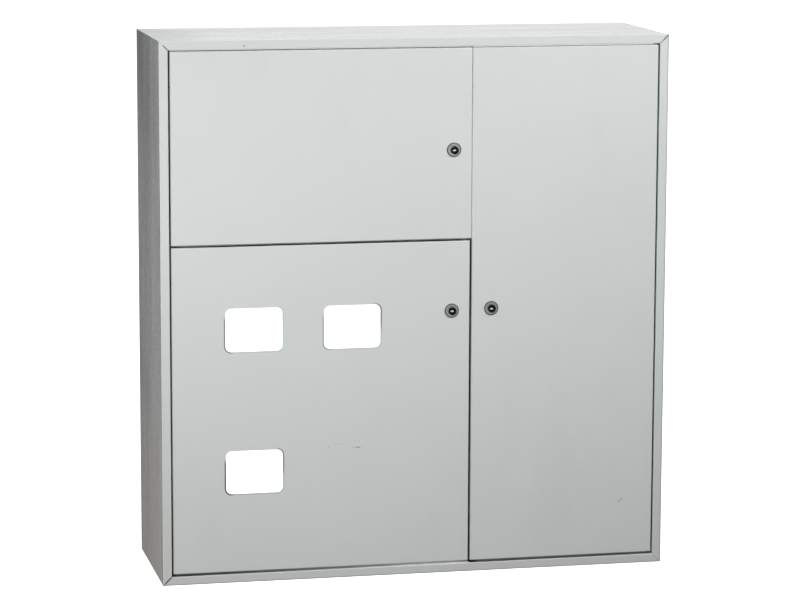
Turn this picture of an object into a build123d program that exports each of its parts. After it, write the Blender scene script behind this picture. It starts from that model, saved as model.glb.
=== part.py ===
"""Storey distribution board in folded sheet steel, for a landing in a block of flats.

The box is four mitred panels with an open back. A painted face frame lies on its front
edge, and three inset pan doors close it: one over the modular devices, one with three
windows over the meters, and one over the full-height low-current compartment.

Frame of reference: X to the right, Y into the board, Z up. The origin is the middle of
the footprint, on the surface that the board stands on. Depths are measured from the
front face of the frame, and depth_y() turns one into a Y value.
"""

from build123d import *
from dataclasses import dataclass
import os

os.makedirs("parts", exist_ok=True)

# Overall box
width = 950.0
height = 1000.0
depth = 300.0

# Sheet metal
sheet = 1.2
inner_bend = 0.4
frame_bend = 0.8
corner_fit = 0.5

# Face frame and box flanges
frame_face = 16.5
frame_return = 30.0
front_flange = 14.0
rear_flange = 25.0
edge_round = 0.4

# Doors and the gaps around them
door_depth = 15.0
door_bend = 2.0
door_hem = 8.0
gap_hinge_side = 3.0
gap_top = 2.5
gap_bottom = 4.0
gap_between_rows = 3.6
gap_upper_door = 1.4
gap_lower_door = 4.0
right_door_width = 352.1
upper_door_height = 351.7

# Meter windows, as places on the lower door
window_width = 106.0
window_height = 80.5
window_corner = 11.0
window_first_x = 151.2
window_first_z = 154.0
window_column_pitch = 182.8
window_row_pitch = 264.5

# Window panes and the clips that hold them
pane_thickness = 3.0
pane_lap = 9.0
pane_corner = 4.0
pane_fit = 0.3
clip_width = 60.0
clip_lip = 6.0
clip_foot = 10.0

# Door locks
lock_edge_left_doors = 33.8
lock_edge_right_door = 37.1
lock_drop_upper = 187.0
lock_drop_lower = 130.2
lock_drop_right = 483.0
bezel_radius = 13.25
bezel_proud = 1.8
bezel_edge = 0.9
barrel_radius = 9.4
barrel_flats = 16.8
barrel_length = 20.4
lock_fit = 0.1
recess_radius = 7.75
recess_bottom = 9.0
stem_radius = 5.0
running_fit = 0.05
insert_radius = 4.6
insert_front = -0.8
core_face = 3.2
drive_square = 7.0
nut_across_flats = 22.0
nut_thickness = 4.0
cam_length = 32.0
cam_hub_radius = 8.0
cam_tip_radius = 4.7
cam_thickness = 2.5
cam_gap = 0.3
cam_screw_radius = 2.5
cam_screw_head = 4.5
cam_screw_head_height = 2.6
cam_screw_length = 9.0

# Hidden hinges
hinge_pin_radius = 2.0
hinge_fit = 0.05
hinge_inset = 7.0
hinge_depth = 7.0
hinge_end_distance = 65.0
lug_thickness = 2.0
lug_eye = 3.9
lug_arm = 4.0
lug_back = 24.0
lug_tab_half_height = 10.0
lug_tab_thickness = 2.0
lug_tab_depth = 11.0
ear_gap = 0.3
ear_eye = 4.5
leaf_from_edge = 3.0
leaf_length = 26.0
ear_base = 13.0
leaf_half_height = 13.0
notch_start = 2.2
notch_clearance = 1.5
pin_head_radius = 3.2
pin_head_height = 1.0

# Partition, centre mullion and divider shelf
mullion_width = 34.0
mullion_sheet = 1.5
mullion_gap = 2.0
partition_flange = 12.0
divider_front_flange = 21.0
swing_relief_side = 8.0
swing_relief_depth = 20.0
wire_opening_length = 130.0
wire_opening_width = 45.0
wire_opening_corner = 11.0
wire_opening_from_back = 45.0
wire_opening_from_wall = 158.0
wire_opening_spacing = 236.0

# Back straps with the wall fixing holes
strap_height = 50.0
strap_return = 12.0
strap_from_end = 40.0
fixing_spacing = 700.0
fixing_hole_radius = 5.0

# Device compartment: posts, rails and cover plate
post_front = 70.0
post_back = 133.2
post_front_flange = 26.0
post_back_flange = 34.0
post_margin = 8.0
rail_height = 35.0
rail_inner = 27.0
rail_depth = 7.5
rail_sheet = 1.0
rail_end_gap = 12.0
rail_pitch = 155.0
rail_first_drop = 98.0
rail_slot_length = 18.0
rail_slot_width = 6.2
rail_slot_pitch = 52.0
rail_screw_from_wall = 22.5
cover_side_gap = 3.0
cover_fold = 9.0
cover_end_gap = 3.0
cover_screw_from_wall = 13.0
cover_screw_inset = 24.0
module_slot_length = 470.0
module_slot_height = 46.0

# Meter and low-current mounting strips
strip_depth_place = 190.0
strip_height = 30.0
strip_return = 8.0
strip_tab = 28.0
strip_slot_length = 20.0
strip_slot_width = 6.5
strip_slot_pitch = 62.0
meter_strip_from_floor = 92.0
meter_strip_below_shelf = 78.0
meter_strip_pair_half = 36.0
low_current_strip_from_end = 190.0
low_current_strip_count = 3

# Small pan-head screws
screw_radius = 2.0
screw_fit = 0.1
screw_head_radius = 4.0
screw_head_height = 2.2
screw_length = 8.0
screw_slot_width = 1.2
screw_slot_depth = 1.0

# Neutral and earth bars on the divider shelf
bar_length = 150.0
bar_height = 9.0
bar_thickness = 7.0
bar_hole_radius = 2.6
bar_hole_level = 3.8
bar_screw_hole_depth = 4.5
bar_terminals = 8
bar_end_margin = 22.0
bar_screw_radius = 2.3
bar_screw_head = 3.0
bar_screw_proud = 3.0
bar_screw_head_height = 2.0
bar_screw_reach = 3.0
support_length = 14.0
support_width = 20.0
support_height = 24.0
support_end_margin = 4.0
support_corner = 2.0
support_groove = 4.5
bar_depths = (160.0, 200.0)
bar_start_from_left = 60.0

# Box earth stud on the left wall of the meter compartment
stud_radius = 4.0
stud_length = 26.0
stud_height_place = 52.0
stud_depth_place = 90.0
stud_nut_flats = 13.0
stud_nut_thickness = 6.5
stud_washer_radius = 8.0
stud_washer_thickness = 1.6
stud_washer_fit = 0.2
stud_lug_room = 3.0

# Places that follow from the sizes above
front_y = -(depth - bezel_proud) / 2
opening_half = width / 2 - frame_face
opening_bottom = frame_face
opening_top = height - frame_face
left_edge = -opening_half + gap_hinge_side
right_edge = opening_half - gap_hinge_side
right_door_left = right_edge - right_door_width
upper_door_right = right_door_left - gap_upper_door
lower_door_right = right_door_left - gap_lower_door
doors_top = opening_top - gap_top
doors_bottom = opening_bottom + gap_bottom
upper_door_bottom = doors_top - upper_door_height
lower_door_top = upper_door_bottom - gap_between_rows
wall_inside = width / 2 - sheet
partition_left = right_door_left - (gap_upper_door + sheet) / 2
partition_right = partition_left + sheet
mullion_middle = (partition_left + partition_right) / 2
mullion_front = door_depth + mullion_gap
mullion_back = mullion_front + mullion_sheet
divider_top = (upper_door_bottom + lower_door_top + sheet) / 2
back_plane = depth - sheet
strap_levels = (height - strap_from_end - strap_height / 2, strap_from_end + strap_height / 2)


def depth_y(distance):
    """Y of a place that lies this far behind the front face of the frame."""
    return front_y + distance


def face_plane(distance):
    """Plane parallel to the front, this far behind it. Extruding by a minus goes deeper."""
    return Plane.XZ.offset(-depth_y(distance))


def keep(piece, name):
    """Label a finished piece and write its file."""
    piece.part.label = name
    export_step(piece.part, f"parts/{name}.step")


def folded_outline(points, thickness=sheet, radius=inner_bend):
    """Section of a folded sheet, from the line through the middle of its thickness."""
    with BuildSketch(mode=Mode.PRIVATE) as section:
        with BuildLine(mode=Mode.PRIVATE) as middle:
            FilletPolyline(*points, radius=radius + thickness / 2)
        trace(middle.line, thickness)
    return section.sketch


def ring_side(side):
    """Start corner, running direction and length of one side of the front rectangle."""
    half = width / 2
    sides = {
        "bottom": ((-half, front_y, 0), (1, 0, 0), width),
        "right": ((half, front_y, 0), (0, 0, 1), height),
        "top": ((half, front_y, height), (-1, 0, 0), width),
        "left": ((-half, front_y, height), (0, 0, -1), height),
    }
    return sides[side]


def mitred_member(side, section, reach):
    """One side of a four-sided ring: a section of depth and inward distance, mitred."""
    start, run, length = ring_side(side)
    with BuildPart(mode=Mode.PRIVATE) as member:
        with BuildSketch(Plane(origin=start, x_dir=(0, 1, 0), z_dir=run)):
            add(section)
        extrude(amount=length)
        with BuildSketch(Plane(origin=start, x_dir=run, z_dir=(0, -1, 0))):
            Polygon((0, 0), (length, 0), (length - reach, reach), (reach, reach), align=None)
        extrude(amount=-depth, mode=Mode.INTERSECT)
    return member.part


def slot_row(first, last, pitch):
    """Middles of a row of slots at this pitch, centred between two ends."""
    room = last - first
    count = int((room - pitch / 2) // pitch) + 1
    start = (first + last) / 2 - (count - 1) * pitch / 2
    return [start + index * pitch for index in range(count)]


# Box panels: galvanised channels with a front flange and a rear flange
panel_section = folded_outline(
    [
        (1.5 * sheet, front_flange),
        (1.5 * sheet, sheet / 2),
        (depth - sheet / 2, sheet / 2),
        (depth - sheet / 2, rear_flange),
    ]
)
for panel_side in ("left", "right", "top", "bottom"):
    with BuildPart() as panel:
        add(mitred_member(panel_side, panel_section, 2 * rear_flange))
    keep(panel, f"{panel_side}_panel")

# Face frame: painted angles that lie on the front flanges and line the door opening
with BuildSketch() as frame_section:
    add(
        folded_outline(
            [
                (sheet / 2, 0),
                (sheet / 2, frame_face - sheet / 2),
                (frame_return, frame_face - sheet / 2),
            ],
            radius=frame_bend,
        )
    )
    fillet(frame_section.vertices().sort_by_distance((0, 0))[0], edge_round)
for frame_side in ("left", "right", "top", "bottom"):
    with BuildPart() as frame_member:
        add(mitred_member(frame_side, frame_section.sketch, 2 * frame_face))
    keep(frame_member, f"frame_{frame_side}")

# Partition between the left compartments and the low-current compartment: a Z section,
# notched at its front ends for the face frame and at its back for the two straps
with BuildPart() as partition:
    with BuildSketch(Plane.XY.offset(sheet + corner_fit)):
        add(
            folded_outline(
                [
                    (partition_right - partition_flange, depth_y(mullion_back + sheet / 2)),
                    (mullion_middle, depth_y(mullion_back + sheet / 2)),
                    (mullion_middle, depth_y(back_plane - sheet / 2)),
                    (mullion_middle + rear_flange, depth_y(back_plane - sheet / 2)),
                ]
            )
        )
    extrude(amount=height - 2 * (sheet + corner_fit))
    with BuildSketch(face_plane(0)):
        with Locations((mullion_middle, frame_face / 2), (mullion_middle, height - frame_face / 2)):
            Rectangle(4 * partition_flange, frame_face + 2 * corner_fit)
    extrude(amount=-(frame_return + corner_fit), mode=Mode.SUBTRACT)
    with BuildSketch(face_plane(back_plane)):
        with Locations(*[(mullion_middle, level) for level in strap_levels]):
            Rectangle(4 * rear_flange, strap_height + 2 * corner_fit)
    extrude(amount=strap_return + corner_fit, mode=Mode.SUBTRACT)
keep(partition, "centre_partition")

# Centre mullion: a painted strip behind the door edges, which the lock cams catch
with BuildPart() as mullion:
    with BuildSketch(face_plane(mullion_front)):
        with Locations((mullion_middle, (opening_bottom + opening_top) / 2)):
            Rectangle(mullion_width, opening_top - opening_bottom)
    extrude(amount=-mullion_sheet)
keep(mullion, "centre_mullion")

# Divider shelf between the two left compartments, with openings for the wires and its
# front corner cut back for the swing of the lower door's edge
divider_left = -wall_inside + corner_fit
mullion_left = mullion_middle - mullion_width / 2
with BuildPart() as divider:
    with BuildSketch(Plane.YZ.offset(divider_left)):
        add(
            folded_outline(
                [
                    (depth_y(mullion_front + sheet / 2), divider_top - divider_front_flange),
                    (depth_y(mullion_front + sheet / 2), divider_top - sheet / 2),
                    (depth_y(back_plane - sheet / 2), divider_top - sheet / 2),
                    (depth_y(back_plane - sheet / 2), divider_top - rear_flange),
                ]
            )
        )
    extrude(amount=partition_left - divider_left)
    with BuildSketch(Plane.XY.offset(divider_top)):
        with Locations((divider_left, depth_y(0))):
            Rectangle(
                -opening_half - divider_left,
                frame_return + corner_fit,
                align=(Align.MIN, Align.MIN),
            )
        with Locations((divider_left, depth_y(0))):
            Rectangle(
                left_edge + hinge_inset + swing_relief_side - divider_left,
                swing_relief_depth,
                align=(Align.MIN, Align.MIN),
            )
        with Locations((partition_left, depth_y(0))):
            Rectangle(
                partition_left - mullion_left,
                mullion_back + sheet + corner_fit,
                align=(Align.MAX, Align.MIN),
            )
        wire_opening_x = -wall_inside + wire_opening_from_wall
        with Locations((wire_opening_x, depth_y(depth - wire_opening_from_back))):
            with Locations((0, 0), (wire_opening_spacing, 0)):
                RectangleRounded(wire_opening_length, wire_opening_width, wire_opening_corner)
    extrude(amount=-2 * divider_front_flange, mode=Mode.SUBTRACT)
keep(divider, "divider_shelf")

# Back straps: channels across the open back, each with two wall fixing holes
strap_from_wall = wall_inside - corner_fit
strap_edge = (strap_height - sheet) / 2
for strap_name, strap_middle in zip(("back_strap_top", "back_strap_bottom"), strap_levels):
    with BuildPart() as strap:
        with BuildSketch(Plane.YZ.offset(-strap_from_wall)):
            add(
                folded_outline(
                    [
                        (depth_y(back_plane - strap_return), strap_middle - strap_edge),
                        (depth_y(back_plane - sheet / 2), strap_middle - strap_edge),
                        (depth_y(back_plane - sheet / 2), strap_middle + strap_edge),
                        (depth_y(back_plane - strap_return), strap_middle + strap_edge),
                    ]
                )
            )
        extrude(amount=2 * strap_from_wall)
        with BuildSketch(face_plane(back_plane)):
            with Locations((0, strap_middle)):
                with GridLocations(fixing_spacing, 1, 2, 1):
                    Circle(fixing_hole_radius)
        extrude(amount=2 * sheet, mode=Mode.SUBTRACT)
    keep(strap, strap_name)


@dataclass
class DoorPlan:
    """Outline of a door, the side its hinges are on (-1 left, 1 right) and its lock."""

    name: str
    left: float
    right: float
    bottom: float
    top: float
    hinge_side: int
    lock_edge: float
    lock_drop: float
    hinge_count: int

    @property
    def middle(self):
        """Middle of the face."""
        return ((self.left + self.right) / 2, (self.bottom + self.top) / 2)

    @property
    def width(self):
        """Width of the face."""
        return self.right - self.left

    @property
    def height(self):
        """Height of the face."""
        return self.top - self.bottom

    @property
    def hinge_edge(self):
        """X of the edge that the hinges are on."""
        return self.right if self.hinge_side > 0 else self.left

    @property
    def free_edge(self):
        """X of the edge that the lock is near."""
        return self.left if self.hinge_side > 0 else self.right

    @property
    def pin_x(self):
        """X of the hinge axis."""
        return self.hinge_edge - self.hinge_side * hinge_inset

    @property
    def lock_place(self):
        """Middle of the lock on the face."""
        return (self.free_edge + self.hinge_side * self.lock_edge, self.top - self.lock_drop)

    @property
    def hinge_heights(self):
        """Heights of the hinges, evenly spaced between the end distances."""
        first = self.bottom + hinge_end_distance
        spread = self.height - 2 * hinge_end_distance
        return [first + spread * place / (self.hinge_count - 1) for place in range(self.hinge_count)]


upper_door = DoorPlan(
    "upper", left_edge, upper_door_right, upper_door_bottom, doors_top,
    -1, lock_edge_left_doors, lock_drop_upper, 2,
)
lower_door = DoorPlan(
    "lower", left_edge, lower_door_right, doors_bottom, lower_door_top,
    -1, lock_edge_left_doors, lock_drop_lower, 2,
)
right_door = DoorPlan(
    "right", right_door_left, right_edge, doors_bottom, doors_top,
    1, lock_edge_right_door, lock_drop_right, 3,
)
doors = (upper_door, lower_door, right_door)

# Windows are in the left column of both rows and the second column of the upper row
window_x = lower_door.left + window_first_x
window_z = lower_door.top - window_first_z
windows = (
    ("upper_left", (window_x, window_z)),
    ("upper_middle", (window_x + window_column_pitch, window_z)),
    ("lower_left", (window_x, window_z - window_row_pitch)),
)

# Doors: pans with rolled front edges, hemmed at the top, bottom and free edge
for door in doors:
    free = -door.hinge_side
    with BuildPart() as pan:
        with BuildSketch(face_plane(0)):
            with Locations(door.middle):
                Rectangle(door.width, door.height)
        extrude(amount=-door_depth)
        fillet(pan.faces().sort_by(Axis.Y)[0].edges(), door_bend)
        offset(amount=-sheet, openings=pan.faces().sort_by(Axis.Y)[-1])
        with BuildSketch(face_plane(door_depth)):
            with Locations(door.middle):
                Rectangle(door.width - sheet, door.height - sheet)
            with Locations((door.free_edge - free * (sheet + door_hem), door.middle[1])):
                Rectangle(
                    door.width,
                    door.height - 2 * (sheet + door_hem),
                    align=(Align.MAX if free > 0 else Align.MIN, Align.CENTER),
                    mode=Mode.SUBTRACT,
                )
        extrude(amount=sheet)
        with BuildSketch(face_plane(0)):
            with Locations(door.lock_place):
                Circle(barrel_radius + lock_fit)
            with Locations(door.lock_place):
                Rectangle(barrel_flats + 2 * lock_fit, 2 * bezel_radius, mode=Mode.INTERSECT)
            if door is lower_door:
                with Locations(*[place for _, place in windows]):
                    RectangleRounded(window_width, window_height, window_corner)
        extrude(amount=-2 * sheet, mode=Mode.SUBTRACT)
        with BuildSketch(face_plane(notch_start)):
            with Locations(*[(door.hinge_edge, level) for level in door.hinge_heights]):
                Rectangle(4 * sheet, lug_thickness + 2 * notch_clearance)
        extrude(amount=-door_depth, mode=Mode.SUBTRACT)
    keep(pan, f"{door.name}_door")

# Window panes and the folded clips that hold each one at its sides
pane_width = window_width + 2 * pane_lap
for window_name, place in windows:
    with BuildPart() as pane:
        with BuildSketch(face_plane(sheet)):
            with Locations(place):
                RectangleRounded(pane_width, window_height + 2 * pane_lap, pane_corner)
        extrude(amount=-pane_thickness)
    keep(pane, f"window_pane_{window_name}")

clip_step = sheet + pane_thickness + pane_fit
with BuildPart() as clips:
    for _, (pane_x, pane_z) in windows:
        for side in (-1, 1):
            riser_x = pane_x + side * (pane_width / 2 + pane_fit + sheet / 2)
            with BuildSketch(Plane.XY.offset(pane_z)):
                add(
                    folded_outline(
                        [
                            (riser_x + side * clip_foot, depth_y(1.5 * sheet)),
                            (riser_x, depth_y(1.5 * sheet)),
                            (riser_x, depth_y(clip_step + sheet / 2)),
                            (riser_x - side * clip_lip, depth_y(clip_step + sheet / 2)),
                        ]
                    )
                )
            extrude(amount=clip_width / 2, both=True)
keep(clips, "window_clips")

# Hidden hinges: a gooseneck lug on the frame reaches behind the door's edge to the pin,
# and a leaf with two ears carries the pin inside the door
pin_y = depth_y(hinge_depth)
ear_bottom = lug_thickness / 2 + ear_gap
for door in doors:
    side = door.hinge_side
    frame_x = side * opening_half
    with BuildPart() as lugs:
        for level in door.hinge_heights:
            with BuildSketch(Plane.XY.offset(level)):
                with BuildLine(mode=Mode.PRIVATE) as neck:
                    FilletPolyline(
                        (door.pin_x, pin_y),
                        (door.pin_x, depth_y(lug_back - lug_arm / 2)),
                        (frame_x, depth_y(lug_back - lug_arm / 2)),
                        radius=lug_arm,
                    )
                trace(neck.line, lug_arm)
                with Locations((door.pin_x, pin_y)):
                    Circle(lug_eye)
                    Circle(hinge_pin_radius + hinge_fit, mode=Mode.SUBTRACT)
            extrude(amount=lug_thickness / 2, both=True)
            with BuildSketch(Plane.XY.offset(level)):
                with Locations((frame_x - side * lug_tab_thickness / 2, depth_y(lug_back - lug_arm / 2))):
                    Rectangle(lug_tab_thickness, lug_tab_depth)
            extrude(amount=lug_tab_half_height, both=True)
    keep(lugs, f"{door.name}_hinge_lugs")

    leaf_start = door.hinge_edge - side * leaf_from_edge
    leaf_middle = leaf_start - side * leaf_length / 2
    with BuildPart() as leaves:
        for level in door.hinge_heights:
            with BuildSketch(face_plane(sheet)):
                with Locations((leaf_middle, level)):
                    Rectangle(leaf_length, 2 * leaf_half_height)
            extrude(amount=-sheet)
            for ear_direction in (-1, 1):
                with BuildSketch(Plane.XY.offset(level + ear_direction * ear_bottom)):
                    with Locations((door.pin_x, pin_y)):
                        Circle(ear_eye)
                    with Locations((leaf_middle, depth_y(1.5 * sheet))):
                        Rectangle(ear_base, sheet)
                    make_hull()
                    with Locations((door.pin_x, pin_y)):
                        Circle(hinge_pin_radius + hinge_fit, mode=Mode.SUBTRACT)
                extrude(amount=ear_direction * sheet)
    keep(leaves, f"{door.name}_hinge_leaves")

    pin_half = ear_bottom + sheet
    with BuildPart() as pins:
        for level in door.hinge_heights:
            with BuildSketch(Plane.XY.offset(level - pin_half - pin_head_height)):
                with Locations((door.pin_x, pin_y)):
                    Circle(hinge_pin_radius)
            extrude(amount=2 * pin_half + pin_head_height)
            with BuildSketch(Plane.XY.offset(level + pin_half)):
                with Locations((door.pin_x, pin_y)):
                    Circle(pin_head_radius)
            extrude(amount=pin_head_height)
    keep(pins, f"{door.name}_hinge_pins")

# Quarter-turn cam locks: housing, nut, turning core with its three-sided insert, cam, screw
cam_front = barrel_length + cam_gap
cam_back = cam_front + cam_thickness
for door in doors:
    lock_x, lock_z = door.lock_place
    with BuildPart() as housing:
        with BuildSketch(face_plane(-bezel_proud)):
            with Locations(door.lock_place):
                Circle(bezel_radius)
        extrude(amount=-bezel_proud)
        chamfer(housing.edges().group_by(Axis.Y)[0], bezel_edge)
        with BuildSketch(face_plane(0)):
            with Locations(door.lock_place):
                Circle(barrel_radius)
            with Locations(door.lock_place):
                Rectangle(barrel_flats, 2 * bezel_radius, mode=Mode.INTERSECT)
        extrude(amount=-barrel_length)
        with BuildSketch(face_plane(-bezel_proud)):
            with Locations(door.lock_place):
                Circle(recess_radius)
        extrude(amount=-(recess_bottom + bezel_proud), mode=Mode.SUBTRACT)
        with BuildSketch(face_plane(recess_bottom)):
            with Locations(door.lock_place):
                Circle(stem_radius)
        extrude(amount=-barrel_length, mode=Mode.SUBTRACT)
    keep(housing, f"{door.name}_lock_housing")

    with BuildPart() as nut:
        with BuildSketch(face_plane(sheet)):
            with Locations(door.lock_place):
                RegularPolygon(nut_across_flats / 2, 6, major_radius=False)
                Circle(barrel_radius + lock_fit, mode=Mode.SUBTRACT)
        extrude(amount=-nut_thickness)
    keep(nut, f"{door.name}_lock_nut")

    with BuildPart() as core:
        with BuildSketch(face_plane(insert_front)):
            with Locations(door.lock_place):
                RegularPolygon(insert_radius, 3, rotation=90)
        extrude(amount=insert_front - core_face)
        with BuildSketch(face_plane(core_face)):
            with Locations(door.lock_place):
                Circle(recess_radius - running_fit)
        extrude(amount=core_face - recess_bottom + lock_fit)
        with BuildSketch(face_plane(recess_bottom - lock_fit)):
            with Locations(door.lock_place):
                Circle(stem_radius - running_fit)
        extrude(amount=recess_bottom - lock_fit - barrel_length)
        with BuildSketch(face_plane(barrel_length)):
            with Locations(door.lock_place):
                Rectangle(drive_square, drive_square)
        extrude(amount=barrel_length - cam_back)
        with BuildSketch(face_plane(cam_back)):
            with Locations(door.lock_place):
                Circle(cam_screw_radius + lock_fit)
        extrude(amount=cam_screw_length, mode=Mode.SUBTRACT)
    keep(core, f"{door.name}_lock_core")

    with BuildPart() as cam:
        with BuildSketch(face_plane(cam_front)):
            with Locations(door.lock_place):
                Circle(cam_hub_radius)
            with Locations((lock_x, lock_z + cam_length - cam_tip_radius)):
                Circle(cam_tip_radius)
            make_hull()
            with Locations(door.lock_place):
                Rectangle(drive_square + 2 * lock_fit, drive_square + 2 * lock_fit, mode=Mode.SUBTRACT)
        extrude(amount=-cam_thickness)
    keep(cam, f"{door.name}_lock_cam")

    with BuildPart() as cam_screw:
        with BuildSketch(face_plane(cam_back)):
            with Locations(door.lock_place):
                Circle(cam_screw_head)
        extrude(amount=-cam_screw_head_height)
        with BuildSketch(face_plane(cam_back + cam_screw_head_height)):
            with Locations(door.lock_place):
                Rectangle(2 * cam_screw_head, screw_slot_width)
        extrude(amount=screw_slot_depth, mode=Mode.SUBTRACT)
        with BuildSketch(face_plane(cam_back)):
            with Locations(door.lock_place):
                Circle(cam_screw_radius)
        extrude(amount=cam_screw_length - lock_fit)
    keep(cam_screw, f"{door.name}_cam_screw")

# Device compartment posts: channels on its two side walls
bay_left = -wall_inside
bay_right = partition_left
bay_middle = (bay_left + bay_right) / 2
post_bottom = divider_top + post_margin
post_top = height - sheet - post_margin
rail_levels = [post_top - rail_first_drop - index * rail_pitch for index in range(2)]
rail_web = post_back - sheet
rail_left = bay_left + rail_end_gap
rail_right = bay_right - rail_end_gap
rail_screw_xs = (bay_left + rail_screw_from_wall, bay_right - rail_screw_from_wall)
cover_bottom = post_bottom + cover_end_gap
cover_top = post_top - cover_end_gap
cover_screw_xs = (bay_left + cover_screw_from_wall, bay_right - cover_screw_from_wall)
cover_screw_zs = (cover_bottom + cover_screw_inset, cover_top - cover_screw_inset)

for post_name, wall_x, inward in (("left", bay_left, 1), ("right", bay_right, -1)):
    with BuildPart() as post:
        with BuildSketch(Plane.XY.offset(post_bottom)):
            add(
                folded_outline(
                    [
                        (wall_x + inward * post_front_flange, depth_y(post_front + sheet / 2)),
                        (wall_x + inward * sheet / 2, depth_y(post_front + sheet / 2)),
                        (wall_x + inward * sheet / 2, depth_y(post_back - sheet / 2)),
                        (wall_x + inward * post_back_flange, depth_y(post_back - sheet / 2)),
                    ]
                )
            )
        extrude(amount=post_top - post_bottom)
        with BuildSketch(face_plane(post_front)):
            with Locations(*[(x, z) for x in cover_screw_xs for z in cover_screw_zs]):
                Circle(screw_radius + screw_fit)
        extrude(amount=-2 * sheet, mode=Mode.SUBTRACT)
        with BuildSketch(face_plane(post_back)):
            with Locations(*[(x, z) for x in rail_screw_xs for z in rail_levels]):
                Circle(screw_radius + screw_fit)
        extrude(amount=2 * sheet, mode=Mode.SUBTRACT)
    keep(post, f"device_post_{post_name}")

# Top-hat rails for the modular devices
for rail_name, level in zip(("upper", "lower"), rail_levels):
    brim = depth_y(rail_web - rail_depth + rail_sheet / 2)
    web = depth_y(rail_web - rail_sheet / 2)
    wall = (rail_inner - rail_sheet) / 2
    with BuildPart() as rail:
        with BuildSketch(Plane.YZ.offset(rail_left)):
            add(
                folded_outline(
                    [
                        (brim, level - rail_height / 2),
                        (brim, level - wall),
                        (web, level - wall),
                        (web, level + wall),
                        (brim, level + wall),
                        (brim, level + rail_height / 2),
                    ],
                    thickness=rail_sheet,
                )
            )
        extrude(amount=rail_right - rail_left)
        with BuildSketch(face_plane(rail_web)):
            with Locations(*[(x, level) for x in rail_screw_xs]):
                Circle(screw_radius + screw_fit)
            slots = slot_row(rail_left + rail_slot_pitch, rail_right - rail_slot_pitch, rail_slot_pitch)
            with Locations(*[(x, level) for x in slots]):
                SlotOverall(rail_slot_length, rail_slot_width)
        extrude(amount=2 * rail_sheet, mode=Mode.SUBTRACT)
    keep(rail, f"device_rail_{rail_name}")


def pan_head_screws(name, places, head_seat):
    """A group of slotted pan-head screws driven from the front, their heads on one plane."""
    with BuildPart() as screws:
        with BuildSketch(face_plane(head_seat)):
            with Locations(*places):
                Circle(screw_head_radius)
        extrude(amount=screw_head_height)
        with BuildSketch(face_plane(head_seat - screw_head_height)):
            with Locations(*places):
                Rectangle(2 * screw_head_radius, screw_slot_width)
        extrude(amount=-screw_slot_depth, mode=Mode.SUBTRACT)
        with BuildSketch(face_plane(head_seat)):
            with Locations(*places):
                Circle(screw_radius)
        extrude(amount=-screw_length)
    keep(screws, name)


pan_head_screws(
    "rail_screws",
    [(x, z) for x in rail_screw_xs for z in rail_levels],
    rail_web - rail_sheet,
)

# Cover plate over the wiring, with a slot for each row of modular devices
with BuildPart() as cover:
    with BuildSketch(Plane.YZ.offset(bay_left + cover_side_gap)):
        add(
            folded_outline(
                [
                    (depth_y(post_front - cover_fold), cover_bottom),
                    (depth_y(post_front - sheet / 2), cover_bottom),
                    (depth_y(post_front - sheet / 2), cover_top),
                    (depth_y(post_front - cover_fold), cover_top),
                ]
            )
        )
    extrude(amount=bay_right - bay_left - 2 * cover_side_gap)
    with BuildSketch(face_plane(post_front)):
        with Locations(*[(bay_middle, level) for level in rail_levels]):
            Rectangle(module_slot_length, module_slot_height)
        with Locations(*[(x, z) for x in cover_screw_xs for z in cover_screw_zs]):
            Circle(screw_radius + screw_fit)
    extrude(amount=2 * sheet, mode=Mode.SUBTRACT)
keep(cover, "cover_plate")
pan_head_screws(
    "cover_screws",
    [(x, z) for x in cover_screw_xs for z in cover_screw_zs],
    post_front - sheet,
)


def mounting_strips(name, left, right, levels):
    """Perforated channel strips across a compartment, with tabs that lie on its side walls."""
    edge = (strip_height - sheet) / 2
    with BuildPart() as strips:
        for level in levels:
            with BuildSketch(Plane.YZ.offset(left)):
                add(
                    folded_outline(
                        [
                            (depth_y(strip_depth_place + strip_return), level - edge),
                            (depth_y(strip_depth_place + sheet / 2), level - edge),
                            (depth_y(strip_depth_place + sheet / 2), level + edge),
                            (depth_y(strip_depth_place + strip_return), level + edge),
                        ]
                    )
                )
            extrude(amount=right - left)
            with BuildSketch(Plane.XY.offset(level)):
                with Locations(
                    (left + sheet / 2, depth_y(strip_depth_place + strip_tab / 2)),
                    (right - sheet / 2, depth_y(strip_depth_place + strip_tab / 2)),
                ):
                    Rectangle(sheet, strip_tab)
            extrude(amount=strip_height / 2, both=True)
            with BuildSketch(face_plane(strip_depth_place + sheet)):
                slots = slot_row(left + strip_slot_pitch / 2, right - strip_slot_pitch / 2, strip_slot_pitch)
                with Locations(*[(x, level) for x in slots]):
                    SlotOverall(strip_slot_length, strip_slot_width)
            extrude(amount=2 * sheet, mode=Mode.SUBTRACT)
    keep(strips, name)


lowest_meter_strip = meter_strip_from_floor
highest_meter_strip = divider_top - meter_strip_below_shelf
middle_of_meters = (lowest_meter_strip + highest_meter_strip) / 2
meter_strip_levels = (
    lowest_meter_strip,
    middle_of_meters - meter_strip_pair_half,
    middle_of_meters + meter_strip_pair_half,
    highest_meter_strip,
)
low_current_span = height - 2 * low_current_strip_from_end
low_current_strip_levels = [
    low_current_strip_from_end + index * low_current_span / (low_current_strip_count - 1)
    for index in range(low_current_strip_count)
]
mounting_strips("meter_strips", bay_left, bay_right, meter_strip_levels)
mounting_strips("low_current_strips", partition_right, wall_inside, low_current_strip_levels)

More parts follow.
